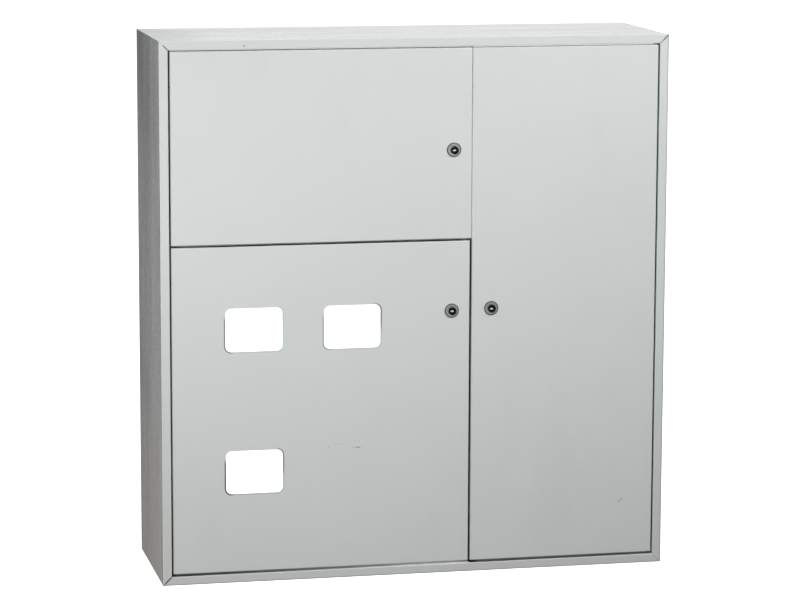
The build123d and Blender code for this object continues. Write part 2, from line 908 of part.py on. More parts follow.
# Neutral and earth bars: drilled brass bars on insulating supports on the divider shelf
bar_left = bay_left + bar_start_from_left
bar_bottom = divider_top + support_height - support_groove
bar_top = bar_bottom + bar_height
terminal_xs = [
    bar_left + bar_end_margin + index * (bar_length - 2 * bar_end_margin) / (bar_terminals - 1)
    for index in range(bar_terminals)
]
support_xs = (
    bar_left + support_end_margin + support_length / 2,
    bar_left + bar_length - support_end_margin - support_length / 2,
)
for bar_name, bar_depth in zip(("neutral_bar", "earth_bar"), bar_depths):
    with BuildPart() as bar:
        with BuildSketch(face_plane(bar_depth - bar_thickness / 2)):
            with Locations((bar_left, bar_bottom)):
                Rectangle(bar_length, bar_height, align=(Align.MIN, Align.MIN))
            with Locations(*[(x, bar_bottom + bar_hole_level) for x in terminal_xs]):
                Circle(bar_hole_radius, mode=Mode.SUBTRACT)
        extrude(amount=-bar_thickness)
        with BuildSketch(Plane.XY.offset(bar_top)):
            with Locations(*[(x, depth_y(bar_depth)) for x in terminal_xs]):
                Circle(bar_screw_radius + screw_fit)
        extrude(amount=-bar_screw_hole_depth, mode=Mode.SUBTRACT)
    keep(bar, bar_name)

with BuildPart() as terminal_screws:
    with BuildSketch(Plane.XY.offset(bar_top + bar_screw_proud - bar_screw_head_height)):
        with Locations(*[(x, depth_y(y)) for x in terminal_xs for y in bar_depths]):
            Circle(bar_screw_head)
    extrude(amount=bar_screw_head_height)
    with BuildSketch(Plane.XY.offset(bar_top + bar_screw_proud)):
        with Locations(*[(x, depth_y(y)) for x in terminal_xs for y in bar_depths]):
            Rectangle(2 * bar_screw_head, screw_slot_width)
    extrude(amount=-screw_slot_depth, mode=Mode.SUBTRACT)
    with BuildSketch(Plane.XY.offset(bar_top + bar_screw_proud - bar_screw_head_height)):
        with Locations(*[(x, depth_y(y)) for x in terminal_xs for y in bar_depths]):
            Circle(bar_screw_radius)
    extrude(amount=-(bar_screw_reach + bar_screw_proud - bar_screw_head_height))
keep(terminal_screws, "terminal_screws")

with BuildPart() as supports:
    with BuildSketch(Plane.XY.offset(divider_top)):
        with Locations(*[(x, depth_y(y)) for x in support_xs for y in bar_depths]):
            RectangleRounded(support_length, support_width, support_corner)
    extrude(amount=support_height)
    with BuildSketch(Plane.XY.offset(divider_top + support_height)):
        with Locations(*[(bay_middle, depth_y(y)) for y in bar_depths]):
            Rectangle(bay_right - bay_left, bar_thickness + 2 * screw_fit)
    extrude(amount=-support_groove, mode=Mode.SUBTRACT)
keep(supports, "bar_supports")

# Box earth stud on the left wall: a nut against the wall, two washers with room for the
# wire lugs between them, and a nut that clamps them
stud_place = (depth_y(stud_depth_place), stud_height_place)
with BuildPart() as stud:
    with BuildSketch(Plane.YZ.offset(bay_left)):
        with Locations(stud_place):
            Circle(stud_radius)
    extrude(amount=stud_length)
keep(stud, "earth_stud")

first_washer = stud_nut_thickness
second_washer = first_washer + stud_washer_thickness + stud_lug_room
second_nut = second_washer + stud_washer_thickness
with BuildPart() as stud_nuts:
    for start in (0, second_nut):
        with BuildSketch(Plane.YZ.offset(bay_left + start)):
            with Locations(stud_place):
                RegularPolygon(stud_nut_flats / 2, 6, major_radius=False)
                Circle(stud_radius + screw_fit, mode=Mode.SUBTRACT)
        extrude(amount=stud_nut_thickness)
keep(stud_nuts, "earth_stud_nuts")

with BuildPart() as stud_washers:
    for start in (first_washer, second_washer):
        with BuildSketch(Plane.YZ.offset(bay_left + start)):
            with Locations(stud_place):
                Circle(stud_washer_radius)
                Circle(stud_radius + stud_washer_fit, mode=Mode.SUBTRACT)
        extrude(amount=stud_washer_thickness)
keep(stud_washers, "earth_stud_washers")
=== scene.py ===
"""Floor distribution board: the finishes of its sheet metal, its turned and threaded small
parts, and the studio that it stands in.

Places are in metres in the board's own frame: X to the right, Y into the board, Z up,
with the origin in the middle of the footprint. Colours are linear red, green and blue.
"""

import logging
import math
from dataclasses import dataclass
from enum import Enum
from typing import Any, Callable, Optional, Sequence, Union

import bmesh
import bpy
import numpy as np
from mathutils import Matrix, Vector

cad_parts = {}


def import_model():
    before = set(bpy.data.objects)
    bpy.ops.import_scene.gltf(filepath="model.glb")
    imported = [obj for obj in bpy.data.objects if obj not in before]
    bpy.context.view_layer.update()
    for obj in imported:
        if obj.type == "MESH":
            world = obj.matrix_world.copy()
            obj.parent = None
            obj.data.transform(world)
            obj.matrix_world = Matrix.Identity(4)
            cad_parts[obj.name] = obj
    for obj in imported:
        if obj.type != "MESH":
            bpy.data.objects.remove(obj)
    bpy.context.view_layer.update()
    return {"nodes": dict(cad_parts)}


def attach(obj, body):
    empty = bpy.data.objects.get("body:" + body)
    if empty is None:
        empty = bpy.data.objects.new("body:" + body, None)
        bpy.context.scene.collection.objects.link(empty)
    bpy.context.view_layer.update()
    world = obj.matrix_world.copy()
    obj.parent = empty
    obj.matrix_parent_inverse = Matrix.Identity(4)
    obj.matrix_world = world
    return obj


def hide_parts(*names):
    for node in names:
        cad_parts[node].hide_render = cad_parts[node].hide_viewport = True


log = logging.getLogger("board")

Vec3 = tuple[float, float, float]
Rgb = tuple[float, float, float]
Pair = tuple[float, float]
Steps = tuple[float, ...]
Number = Union[int, float, "Value"]
Patch = tuple[np.ndarray, np.ndarray]
Rule = Callable[[np.ndarray, np.ndarray, np.ndarray], np.ndarray]
Socket = bpy.types.NodeSocket
Material = bpy.types.Material
Piece = bpy.types.Object

MM = 0.001
FRONT = -0.1491
HALF_WIDTH = 0.475
HEIGHT = 1.0
FRAME_FACE = 0.0165
DIVIDER = 0.1025
ROW = 0.6275
# The painted shade in a lock's recess is a disc shifted this far right and down from the axis, with these
# soft edges.
WELL_SHIFT = (0.0017, -0.0015)
WELL_EDGE = (0.0067, 0.0075)
EVEN = (1.0, 1.0, 1.0)


def deep(distance_mm: float) -> float:
    """Y of a place this many millimetres behind the front face of the frame."""
    return FRONT + distance_mm * MM


def grey(level: float) -> Rgb:
    """The neutral colour of a level."""
    return (level, level, level)


def tinted(colour: Rgb, shares: Rgb) -> Rgb:
    """A colour with each part multiplied by its share."""
    return tuple(part * share for part, share in zip(colour, shares))


# Shader building


class Value:
    """A number in a shader that is written as a Python expression."""

    def __init__(self, nodes: "NodeSheet", socket: Socket) -> None:
        """Wrap an output socket.

        Args:
            nodes: The node sheet that new nodes are added to.
            socket: The output that carries the number.
        """
        self.nodes = nodes
        self.socket = socket

    def _math(self, operation: str, *values: Number) -> "Value":
        """The result of a Math node on these inputs."""
        return self.nodes.number("ShaderNodeMath", {"operation": operation}, dict(enumerate(values)))

    def __add__(self, other: Number) -> "Value":
        """Sum."""
        return self._math("ADD", self, other)

    __radd__ = __add__

    def __sub__(self, other: Number) -> "Value":
        """Difference."""
        return self._math("SUBTRACT", self, other)

    def __rsub__(self, other: Number) -> "Value":
        """Difference, the other way round."""
        return self._math("SUBTRACT", other, self)

    def __mul__(self, other: Number) -> "Value":
        """Product."""
        return self._math("MULTIPLY", self, other)

    __rmul__ = __mul__

    def __truediv__(self, other: Number) -> "Value":
        """Quotient."""
        return self._math("DIVIDE", self, other)

    def __rtruediv__(self, other: Number) -> "Value":
        """Quotient, the other way round."""
        return self._math("DIVIDE", other, self)

    def __abs__(self) -> "Value":
        """Size without its sign."""
        return self._math("ABSOLUTE", self)

    def __lt__(self, other: Number) -> "Value":
        """1 where this is less than the other, else 0."""
        return self._math("LESS_THAN", self, other)

    def __gt__(self, other: Number) -> "Value":
        """1 where this is greater than the other, else 0."""
        return self._math("GREATER_THAN", self, other)

    def least(self, other: Number) -> "Value":
        """The lesser of the two."""
        return self._math("MINIMUM", self, other)

    def most(self, other: Number) -> "Value":
        """The greater of the two."""
        return self._math("MAXIMUM", self, other)

    def hypot(self, other: "Value") -> "Value":
        """Length of the hypotenuse over this side and the other."""
        return self._math("SQRT", self * self + other * other)

    def ramp(self, low: float, high: float, at_low: float = 0.0, at_high: float = 1.0) -> "Value":
        """Smooth step from one value to another.

        Args:
            low: Where the step begins.
            high: Where it ends.
            at_low: Result at its beginning.
            at_high: Result at its end.

        Returns:
            The stepped value, held at both ends.
        """
        inputs = {"Value": self, "From Min": low, "From Max": high, "To Min": at_low, "To Max": at_high}
        return self.nodes.number("ShaderNodeMapRange", {"interpolation_type": "SMOOTHSTEP"}, inputs)

    def fade(self, low: float, high: float, at_low: float = 1.0) -> "Value":
        """Smooth step down to nothing."""
        return self.ramp(low, high, at_low, 0.0)


class NodeSheet:
    """The node tree of one finish, or of the studio's surroundings."""

    def __init__(self, name: str, world: bool = False) -> None:
        """Start with an empty tree.

        Args:
            name: The name of the material or world.
            world: Whether the tree is the surroundings'.
        """
        self.owner = (bpy.data.worlds if world else bpy.data.materials).new(name)
        self.owner.use_nodes = True
        self.tree = self.owner.node_tree
        self.tree.nodes.clear()
        self.output = self.add("ShaderNodeOutputWorld" if world else "ShaderNodeOutputMaterial")
        self._place: Optional[Socket] = None

    def add(
        self,
        kind: str,
        settings: Optional[dict[str, Any]] = None,
        inputs: Optional[dict[Any, Any]] = None,
    ) -> bpy.types.Node:
        """Add a node, set it up and fill its sockets.

        Args:
            kind: The node's type.
            settings: Its properties.
            inputs: Values, Value objects or output sockets for its inputs.

        Returns:
            The new node.
        """
        node = self.tree.nodes.new(kind)
        for key, value in (settings or {}).items():
            setattr(node, key, value)
        for key, value in (inputs or {}).items():
            self.fill(node.inputs[key], value)
        return node

    def number(self, kind: str, settings: dict[str, Any], inputs: dict[Any, Any]) -> Value:
        """The first output of a new node, as a number."""
        return Value(self, self.add(kind, settings, inputs).outputs[0])

    def fill(self, socket: Socket, value: Any) -> None:
        """Give an input its link or its value.

        Args:
            socket: The input.
            value: A Value, an output socket, or plain numbers.
        """
        if isinstance(value, Value):
            self.tree.links.new(value.socket, socket)
        elif isinstance(value, Socket):
            self.tree.links.new(value, socket)
        elif isinstance(value, (tuple, list)) and len(value) == 3 and len(socket.default_value) == 4:
            socket.default_value = (*value, 1.0)
        else:
            socket.default_value = value

    @property
    def place(self) -> Socket:
        """Object coordinates.

        Returns:
            The output that carries them, in metres.
        """
        if self._place is None:
            self._place = self.add("ShaderNodeTexCoord").outputs["Object"]
        return self._place

    def xyz(self) -> tuple[Value, Value, Value]:
        """The three object coordinates as numbers."""
        parts = self.add("ShaderNodeSeparateXYZ", inputs={0: self.place}).outputs
        return Value(self, parts[0]), Value(self, parts[1]), Value(self, parts[2])

    def stretched(self, scale: Vec3) -> Socket:
        """Object coordinates multiplied by a factor along each axis."""
        inputs = {"Vector": self.place, "Scale": scale}
        return self.add("ShaderNodeMapping", {"vector_type": "POINT"}, inputs).outputs[0]

    def noise(self, scale: float, stretch: Vec3 = EVEN, detail: float = 3.0, rough: float = 0.5) -> Value:
        """Cloudy noise from 0 to 1 on the object's coordinates.

        Args:
            scale: Clouds in a metre.
            stretch: Factor along each axis before the scale.
            detail: Octaves.
            rough: Weight of the finer octaves.

        Returns:
            The noise.
        """
        inputs = {"Vector": self.stretched(stretch), "Scale": scale, "Detail": detail, "Roughness": rough}
        return self.number("ShaderNodeTexNoise", {}, inputs)

    def cells(self, scale: float, stretch: Vec3 = EVEN) -> bpy.types.Node:
        """Node of cells round scattered points, this many in a metre."""
        return self.add("ShaderNodeTexVoronoi", inputs={"Vector": self.stretched(stretch), "Scale": scale})

    def flakes(self, scale: float) -> Value:
        """A random level from 0 to 1 for each cell, as on zinc crystals."""
        return self.number("ShaderNodeSeparateColor", {}, {0: self.cells(scale).outputs["Color"]})

    def specks(self, scale: float, size: Pair, patches: float, bare: float, stretch: Vec3 = EVEN) -> Value:
        """Scattered specks that gather in patches.

        Args:
            scale: Specks in a metre.
            size: Radii between which a speck fades, in cell widths.
            patches: Patches in a metre.
            bare: Level of the patches' noise below which there are no specks.
            stretch: Factor along each axis before the specks' scale.

        Returns:
            Share of the specks, from 0 to 1.
        """
        distance = Value(self, self.cells(scale, stretch).outputs["Distance"])
        return distance.fade(*size) * (self.noise(patches) > bare)

    def blend(self, factor: Number, first: Any, second: Any) -> Socket:
        """Mix of two colours.

        Args:
            factor: Share of the second colour.
            first: Colour at 0.
            second: Colour at 1.

        Returns:
            The mixed colour.
        """
        inputs = {0: factor, 6: first, 7: second}
        return self.add("ShaderNodeMix", {"data_type": "RGBA"}, inputs).outputs[2]

    def layered(self, colour: Any, layers: Sequence[tuple[Number, Any]]) -> Socket:
        """A colour with other tones laid over it, one after another.

        Args:
            colour: The colour below.
            layers: Share and colour of each tone.

        Returns:
            The colour on top.
        """
        for share, tone in layers:
            colour = self.blend(share, colour, tone)
        return colour

    def bump(self, height: Value, distance: float, strength: float) -> Socket:
        """Normal of a surface with fine relief.

        Args:
            height: Relief from 0 to 1.
            distance: Its depth in metres.
            strength: Share of it that shows.

        Returns:
            The normal.
        """
        inputs = {"Height": height, "Distance": distance, "Strength": strength}
        return self.add("ShaderNodeBump", inputs=inputs).outputs[0]

    def shade(self, **inputs: Any) -> Material:
        """Finish with a Principled shader.

        Args:
            inputs: Its sockets, with underscores for spaces.

        Returns:
            The finished material.
        """
        named = {key.replace("_", " "): value for key, value in inputs.items()}
        shader = self.add("ShaderNodeBsdfPrincipled", inputs=named)
        self.fill(self.output.inputs["Surface"], shader.outputs[0])
        return self.owner


class Rolling(Enum):
    """Direction in which a galvanised sheet was rolled; its streaks run along it."""

    ALONG_X = (0.06, 1.0, 1.0)
    ALONG_Z = (1.0, 1.0, 0.06)


class Tone:
    """Colours of the marks and seams on the sheets, and of the painted highlights and painted shade on them.
    """

    PAINT: Rgb = (0.655, 0.690, 0.677)
    SPECK: Rgb = (0.33, 0.33, 0.32)
    SCRATCH: Rgb = (0.22, 0.22, 0.215)
    # Painted shade round the window openings.
    CUT_EDGE_SHADE: Rgb = grey(0.02)
    # Painted highlight on the frame's edges.
    GLINT: Rgb = (0.74, 0.77, 0.765)
    # Painted shade on the frame's rim at the right and below.
    SHADED_RIM: Rgb = (0.30, 0.30, 0.295)
    SEAM: Rgb = (0.07, 0.075, 0.075)
    # Painted light and painted shade in the gaps.
    GAP_PAINTED_LIGHT: Rgb = (0.88, 0.90, 0.89)
    GAP_PAINTED_SHADE: Rgb = grey(0.012)
    PORE: Rgb = grey(0.16)
    DEEP_SHADE: Rgb = grey(0.02)
    # A real smudge and painted shade at the left end of a sheet both take this colour.
    SMUDGE_AND_SHADE: Rgb = grey(0.25)
    WARM_FOOT: Rgb = (0.60, 0.57, 0.54)
    FLECK: Rgb = grey(0.72)
    RUST: Rgb = (0.33, 0.27, 0.21)
    GRIMY_STEEL: Rgb = (0.24, 0.23, 0.22)
    BEZEL_WALL: Rgb = (0.40, 0.40, 0.405)
    PALE_DUST: Rgb = (0.35, 0.35, 0.34)


# Finishes


@dataclass(frozen=True)
class Scratch:
    """A short scratch in the paint of a door, seen from the front (metres)."""

    start: Pair
    end: Pair
    half_width: float
    strength: float
    soft: float = 2.2

    def mask(self, x: Value, z: Value) -> Value:
        """One inside half_width of the segment, none at `soft` times that distance.

        Args:
            x: Across the face.
            z: Up the face.

        Returns:
            Share of the scratch, from 0 to its strength.
        """
        (ax, az), (bx, bz) = self.start, self.end
        dx, dz = bx - ax, bz - az
        along = ((x - ax) * dx + (z - az) * dz) / (dx * dx + dz * dz)
        along = along.most(0.0).least(1.0)
        distance = (x - (along * dx + ax)).hypot(z - (along * dz + az))
        return distance.fade(self.half_width, self.soft * self.half_width, self.strength)


@dataclass(frozen=True)
class WindowEdgeShade:
    """Painted shade: a dark line round a window's cut edge, its shares at the left, at the right and below
    (metres).
    """

    centre: Pair
    left: float
    right: float
    below: float
    half_size: Pair = (0.053, 0.04025)
    corner: float = 0.011
    inner: float = -0.001
    outer: Pair = (0.0022, 0.0027)
    left_span: Pair = (-0.050, -0.030)
    left_top: Pair = (0.016, 0.030)
    right_span: Pair = (0.036, 0.050)
    right_foot: Steps = (-0.014, 0.006, 0.25, 1.0)
    below_span: Pair = (-0.040, -0.036)

    def mask(self, x: Value, z: Value) -> Value:
        """Line where the distance outside a rounded rectangle lies between inner and outer.

        Args:
            x: Place across the board.
            z: Place up the board.

        Returns:
            Share of the line, from 0 to 1.
        """
        off_x, off_z = x - self.centre[0], z - self.centre[1]
        out_x = abs(off_x) - (self.half_size[0] - self.corner)
        out_z = abs(off_z) - (self.half_size[1] - self.corner)
        distance = out_x.most(0.0).hypot(out_z.most(0.0)) - self.corner
        line = distance.fade(*self.outer) * (distance > self.inner)
        left = off_x.fade(*self.left_span, self.left) * off_z.fade(*self.left_top)
        right = off_x.ramp(*self.right_span, 0.0, self.right) * off_z.ramp(*self.right_foot)
        return line * left.most(right).most(off_z.fade(*self.below_span, self.below))


@dataclass(frozen=True)
class FrameSeamsAndEdgeLight:
    """Painted highlight on the rim and inner edge, painted shade on the rim at the right and below, and the
    mitre seams of the frame's front face; steps run over places or tones.
    """

    rim: Pair = (0.0006, 0.0016)
    shaded_rim: Steps = (0.0014, 0.0027, 0.7)
    unshaded: float = 0.05
    inner_edge: Pair = (0.0146, 0.0158)
    glint_share: float = 0.5
    diagonal: float = 0.7071
    seam: Pair = (0.0007, 0.0017)
    top_left: Steps = (0.32, 0.6, 0.06, 0.85)
    top_right: Steps = (0.3, 0.8, 0.95, 0.55)
    low_left: Steps = (0.12, 0.3, 0.15, 1.0)
    low_right: float = 0.2

    def mitres(self, x: Value, z: Value) -> Value:
        """Seam where |distance to the corner's diagonal| < width, its share stepped from rim to door.

        Args:
            x: Place across the board.
            z: Place up the board.

        Returns:
            Share of the seams, from 0 to 1.
        """
        from_side = HALF_WIDTH - abs(x)
        off = abs(from_side - z.least(HEIGHT - z)) * self.diagonal
        right, top = x > 0.0, z > HEIGHT / 2
        left, low = 1.0 - right, 1.0 - top
        inward = from_side / FRAME_FACE
        strength = left * top * inward.ramp(*self.top_left) + right * top * inward.ramp(*self.top_right)
        strength = strength + left * low * inward.ramp(*self.low_left) + right * low * self.low_right
        return off.fade(*self.seam) * strength * (from_side < FRAME_FACE)

    def layers(self, x: Value, z: Value, on_front: Value) -> list[tuple[Value, Rgb]]:
        """The painted highlight on the edges, the painted shade on the rim at the right and below, and the
        mitres.

        Args:
            x: Place across the board.
            z: Place up the board.
            on_front: 1 on the front face, else 0.

        Returns:
            Share and colour of each layer.
        """
        rim = (HALF_WIDTH - abs(x)).least(z).least(HEIGHT - z)
        # Painted shade on the rim at the right and below; the painted highlight lies on the outer rim only
        # where that shade is absent, and on the inner edge.
        shaded_rim = (HALF_WIDTH - x).least(z).fade(*self.shaded_rim)
        glint = rim.fade(*self.rim) * (shaded_rim < self.unshaded) + rim.ramp(*self.inner_edge)
        return [
            (glint * self.glint_share * on_front, Tone.GLINT),
            (shaded_rim * on_front, Tone.SHADED_RIM),
            (self.mitres(x, z) * on_front, Tone.SEAM),
        ]


@dataclass(frozen=True)
class GapShading:
    """Painted light and painted shade on the sheets' edges in the gaps: places, and steps over them (metres).
    """

    divider_half: float = 0.012
    divider_low: float = 0.6285
    top_low: float = 0.97
    top_half: float = 0.4535
    foot_high: float = 0.0215
    row_half: float = 0.0045
    row_right: float = 0.09
    side_depth: Pair = (deep(1.4), deep(9.0))
    side_share: float = 0.75
    low_right: float = 0.44
    low_right_share: Steps = (0.2, 0.5, 0.22)
    foot_depth: Pair = (deep(0.3), deep(1.6))
    under_lower: Steps = (-0.42, -0.02, 0.97)
    under_right: Steps = (0.30, 0.46, 0.94, 0.45)
    row_depth: Pair = (deep(0.4), deep(2.0))
    row_share: Steps = (-0.45, -0.37, 0.35, 0.92)
    foot_light: Pair = (-0.12, 0.04)
    light_depth: float = deep(0.6)

    def layers(self, x: Value, y: Value, z: Value) -> list[tuple[Value, Rgb]]:
        """Painted light over the top and beside the upper door, and painted shade elsewhere.

        Args:
            x: Place across the board.
            y: Place into the board.
            z: Place up the board.

        Returns:
            Share and colour of each layer, none on the front.
        """
        # Painted light over the top and beside the upper door; painted shade deep in the side gaps, at the
        # foot and in the row gap.
        at_divider = (abs(x - DIVIDER) < self.divider_half) * (z > self.divider_low)
        at_top = (z > self.top_low) * (abs(x) < self.top_half)
        at_foot = z < self.foot_high
        at_row = (abs(z - ROW) < self.row_half) * (x < self.row_right)
        light = at_top.most(at_divider)
        level = (x > self.low_right) * z.fade(*self.low_right_share) + self.side_share
        sides = y.ramp(*self.side_depth) * level * (1.0 - light) * (1.0 - at_foot)
        under_lower = x.fade(*self.under_lower) * (x < DIVIDER)
        under_right = x.ramp(*self.under_right) * (x > DIVIDER)
        foot = y.ramp(*self.foot_depth) * at_foot * (under_lower + under_right)
        row = y.ramp(*self.row_depth) * at_row * x.ramp(*self.row_share)
        light = light.most(at_foot * x.ramp(*self.foot_light) * (x < DIVIDER))
        dark = sides.most(foot).most(row)
        return [(light * (y > self.light_depth), Tone.GAP_PAINTED_LIGHT), (dark, Tone.GAP_PAINTED_SHADE)]


@dataclass(frozen=True)
class PaintedSheet:
    """Light grey powder coat with faint orange peel, handling marks and a few scratches."""

    name: str
    colour: Rgb = Tone.PAINT
    low_shade_colour: Optional[Rgb] = None
    scratches: tuple[Scratch, ...] = ()
    window_shades: tuple[WindowEdgeShade, ...] = ()
    seams_and_edge_light: Optional[FrameSeamsAndEdgeLight] = None
    gaps: Optional[GapShading] = GapShading()
    roughness: float = 0.42
    front_depth: float = deep(0.5)
    cut_depth: float = deep(1.25)
    darker: Rgb = grey(0.955)
    lighter: Rgb = grey(1.03)
    warmer: Rgb = (0.93, 0.915, 0.885)

    def build(self) -> Material:
        """The paint: cloudy tone, satin with orange peel, its marks, and painted light and painted shade on
        its rim, its gaps and round the window openings.

        Returns:
            The material.
        """
        nodes = NodeSheet(self.name)
        x, y, z = nodes.xyz()
        on_front = y < self.front_depth
        tone = nodes.noise(2.2, detail=2.0) * 0.5 + nodes.noise(9.0, detail=3.0) * 0.5
        smudge = nodes.noise(5.0, (1.0, 1.0, 0.45), detail=5.0, rough=0.62).ramp(0.52, 0.72)
        specks = nodes.specks(70.0, (0.03, 0.075), patches=16.0, bare=0.60)
        colour = nodes.blend(tone, tinted(self.colour, self.darker), tinted(self.colour, self.lighter))
        layers: list[tuple[Value, Rgb]] = []
        # Painted shade: darker towards the bottom.
        if self.low_shade_colour:
            layers.append((z.fade(0.0, HEIGHT / 2), self.low_shade_colour))
        layers += [(smudge * 0.35, tinted(self.colour, self.warmer)), (specks * 0.22, Tone.SPECK)]
        layers += [(scratch.mask(x, z) * on_front, Tone.SCRATCH) for scratch in self.scratches]
        # Painted shade: dark lines round the window openings' cut edges.
        layers += [(edge.mask(x, z) * (y < self.cut_depth), Tone.CUT_EDGE_SHADE) for edge in self.window_shades]
        # Painted highlight and painted shade on the frame's rim, and its mitre seams.
        layers += self.seams_and_edge_light.layers(x, z, on_front) if self.seams_and_edge_light else []
        # Painted light and painted shade in the gaps.
        layers += self.gaps.layers(x, y, z) if self.gaps else []
        peel = nodes.noise(520.0, detail=2.0) * 0.8 + nodes.noise(1500.0, detail=1.0) * 0.2
        rough = nodes.noise(30.0, detail=4.0).ramp(0.2, 0.8, self.roughness - 0.04, self.roughness + 0.05)
        return nodes.shade(
            Base_Color=nodes.layered(colour, layers),
            Roughness=rough + smudge * 0.06,
            Normal=nodes.bump(peel, 0.00004, 0.5),
            Specular_IOR_Level=0.45,
        )


@dataclass(frozen=True)
class MullionPaint:
    """Paint of the mullion; its strip behind the doors' gap carries painted light above the shelf and painted
    shade below.
    """

    name: str
    base: Rgb = Tone.PAINT
    upper: Rgb = (0.82, 0.84, 0.83)
    lower: Rgb = (0.055, 0.056, 0.056)
    change: Pair = (0.625, 0.631)
    middle: float = 0.1035
    half_width: Pair = (0.0065, 0.0075)
    rear: float = deep(19.0)
    dirt: Rgb = grey(0.12)

    def build(self) -> Material:
        """The paint: the strip's level steps down where the shelf meets the mullion.

        Returns:
            The material.
        """
        nodes = NodeSheet(self.name)
        x, y, z = nodes.xyz()
        cloud = nodes.noise(18.0, (1.0, 1.0, 0.4), detail=4.0)
        # Painted light on the strip above the shelf, painted shade below it.
        tone = nodes.blend(z.ramp(*self.change), self.lower, self.upper)
        strip = abs(x - self.middle).fade(*self.half_width) * (y < self.rear)
        colour = nodes.layered(self.base, [(strip, tone), (cloud * 0.12, self.dirt)])
        return nodes.shade(Base_Color=colour, Roughness=cloud.ramp(0.2, 0.8, 0.45, 0.6))


@dataclass(frozen=True)
class GalvanisedSheet:
    """Galvanised sheet: small zinc crystals, streaks along the rolling and a few specks."""

    name: str
    rolling: Rolling
    light: Rgb = (0.50, 0.50, 0.505)
    dark: Rgb = (0.24, 0.24, 0.245)
    metal: float = 0.55
    gloss: float = 0.5
    low_specks: float = 0.0
    rear_shade: float = 0.0
    top_shade: float = 0.16
    end_shade: float = 0.0
    end_span: Pair = (-0.475, -0.34)
    smudge: Optional[Pair] = None
    smudge_size: Pair = (0.007, 0.025)
    smudge_steps: Steps = (0.4, 1.1, 0.22)

    def shades(self, x: Value, y: Value, z: Value) -> list[tuple[Value, Rgb]]:
        """Shade towards the rear and the top, at the left end, and a smudge.

        Args:
            x: Place across the board.
            y: Place into the board.
            z: Place up the board.

        Returns:
            Share and colour of each layer that this sheet has.
        """
        layers: list[tuple[Value, Rgb]] = []
        # Painted shade towards the rear and the top.
        if self.rear_shade:
            ends = z.ramp(0.72, 0.98) + z.fade(0.05, 0.28)
            rear = y.ramp(-0.17, 0.18) * (ends * 0.8 + 1.0) * self.rear_shade
            layers.append((rear + z.ramp(0.6, 1.0) * self.top_shade, Tone.DEEP_SHADE))
        # Painted shade: darker at the left end.
        if self.end_shade:
            layers.append((x.fade(*self.end_span, self.end_shade), Tone.SMUDGE_AND_SHADE))
        if self.smudge:
            (across, inward), (middle_x, middle_y) = self.smudge_size, self.smudge
            reach = ((x - middle_x) / across).hypot((y - middle_y) / inward)
            layers.append((reach.fade(*self.smudge_steps), Tone.SMUDGE_AND_SHADE))
        return layers

    def build(self) -> Material:
        """The zinc: streaks and crystals change tone and gloss together.

        Returns:
            The material.
        """
        nodes = NodeSheet(self.name)
        x, y, z = nodes.xyz()
        streak = nodes.noise(110.0, self.rolling.value, detail=4.0, rough=0.6)
        broad = nodes.noise(14.0, self.rolling.value, detail=3.0)
        crystal = nodes.flakes(210.0)
        level = streak * 0.40 + broad * 0.30 + crystal * 0.12 + nodes.noise(3.0, detail=3.0) * 0.18
        pores = nodes.specks(90.0, (0.03, 0.08), patches=12.0, bare=0.55, stretch=(1.0, 1.0, 0.6))
        flecks = nodes.specks(95.0, (0.08, 0.24), patches=30.0, bare=0.48, stretch=(1.0, 1.0, 0.7))
        low = z.fade(0.05, 0.35) * y.ramp(-0.1, 0.1) * self.low_specks
        rust = nodes.noise(18.0, detail=6.0, rough=0.7).ramp(0.70, 0.80)
        layers = [
            (pores * 0.35, Tone.PORE),
            *self.shades(x, y, z),
            (z.fade(0.05, 0.4, 0.5 * self.low_specks), Tone.WARM_FOOT),
            (flecks * low, Tone.FLECK),
            (rust * 0.15, Tone.RUST),
        ]
        return nodes.shade(
            Base_Color=nodes.layered(nodes.blend(level.ramp(0.32, 0.66), self.dark, self.light), layers),
            Metallic=self.metal,
            Roughness=level.ramp(0.2, 0.8, 0.58, 0.42),
            Normal=nodes.bump(streak * 0.7 + crystal * 0.3, 0.00003, 0.6),
            Specular_IOR_Level=self.gloss,
        )


@dataclass(frozen=True)
class BareMetal:
    """Turned, cast or plated metal with fine grain and a little tarnish."""

    name: str
    colour: Rgb
    roughness: float
    tarnish: Rgb = (0.20, 0.19, 0.17)
    tarnish_share: float = 0.25
    darker: Rgb = grey(0.78)

    def build(self) -> Material:
        """The metal: tone and gloss vary with fine grain and clouds of tarnish.

        Returns:
            The material.
        """
        nodes = NodeSheet(self.name)
        fine = nodes.noise(900.0, detail=3.0)
        dull = nodes.noise(60.0, detail=4.0, rough=0.6).ramp(0.48, 0.74)
        layers = [(dull * self.tarnish_share, self.tarnish), (fine * 0.3, tinted(self.colour, self.darker))]
        rough = fine.ramp(0.2, 0.8, self.roughness - 0.05, self.roughness + 0.07)
        return nodes.shade(
            Base_Color=nodes.layered(self.colour, layers),
            Metallic=1.0,
            Roughness=rough + dull * 0.08,
            Normal=nodes.bump(fine, 0.00001, 0.6),
        )


def lock_places(x: Value, z: Value, centre: Pair) -> tuple[Value, Value, Value]:
    """Places on the face of a lock.

    Args:
        x: Place across the board.
        z: Place up the board.
        centre: The lock's axis.

    Returns:
        Distances across and up from the axis, and the distance to the middle of the dark recess.
    """
    off_x, off_z = x - centre[0], z - centre[1]
    return off_x, off_z, (off_x - WELL_SHIFT[0]).hypot(off_z - WELL_SHIFT[1])


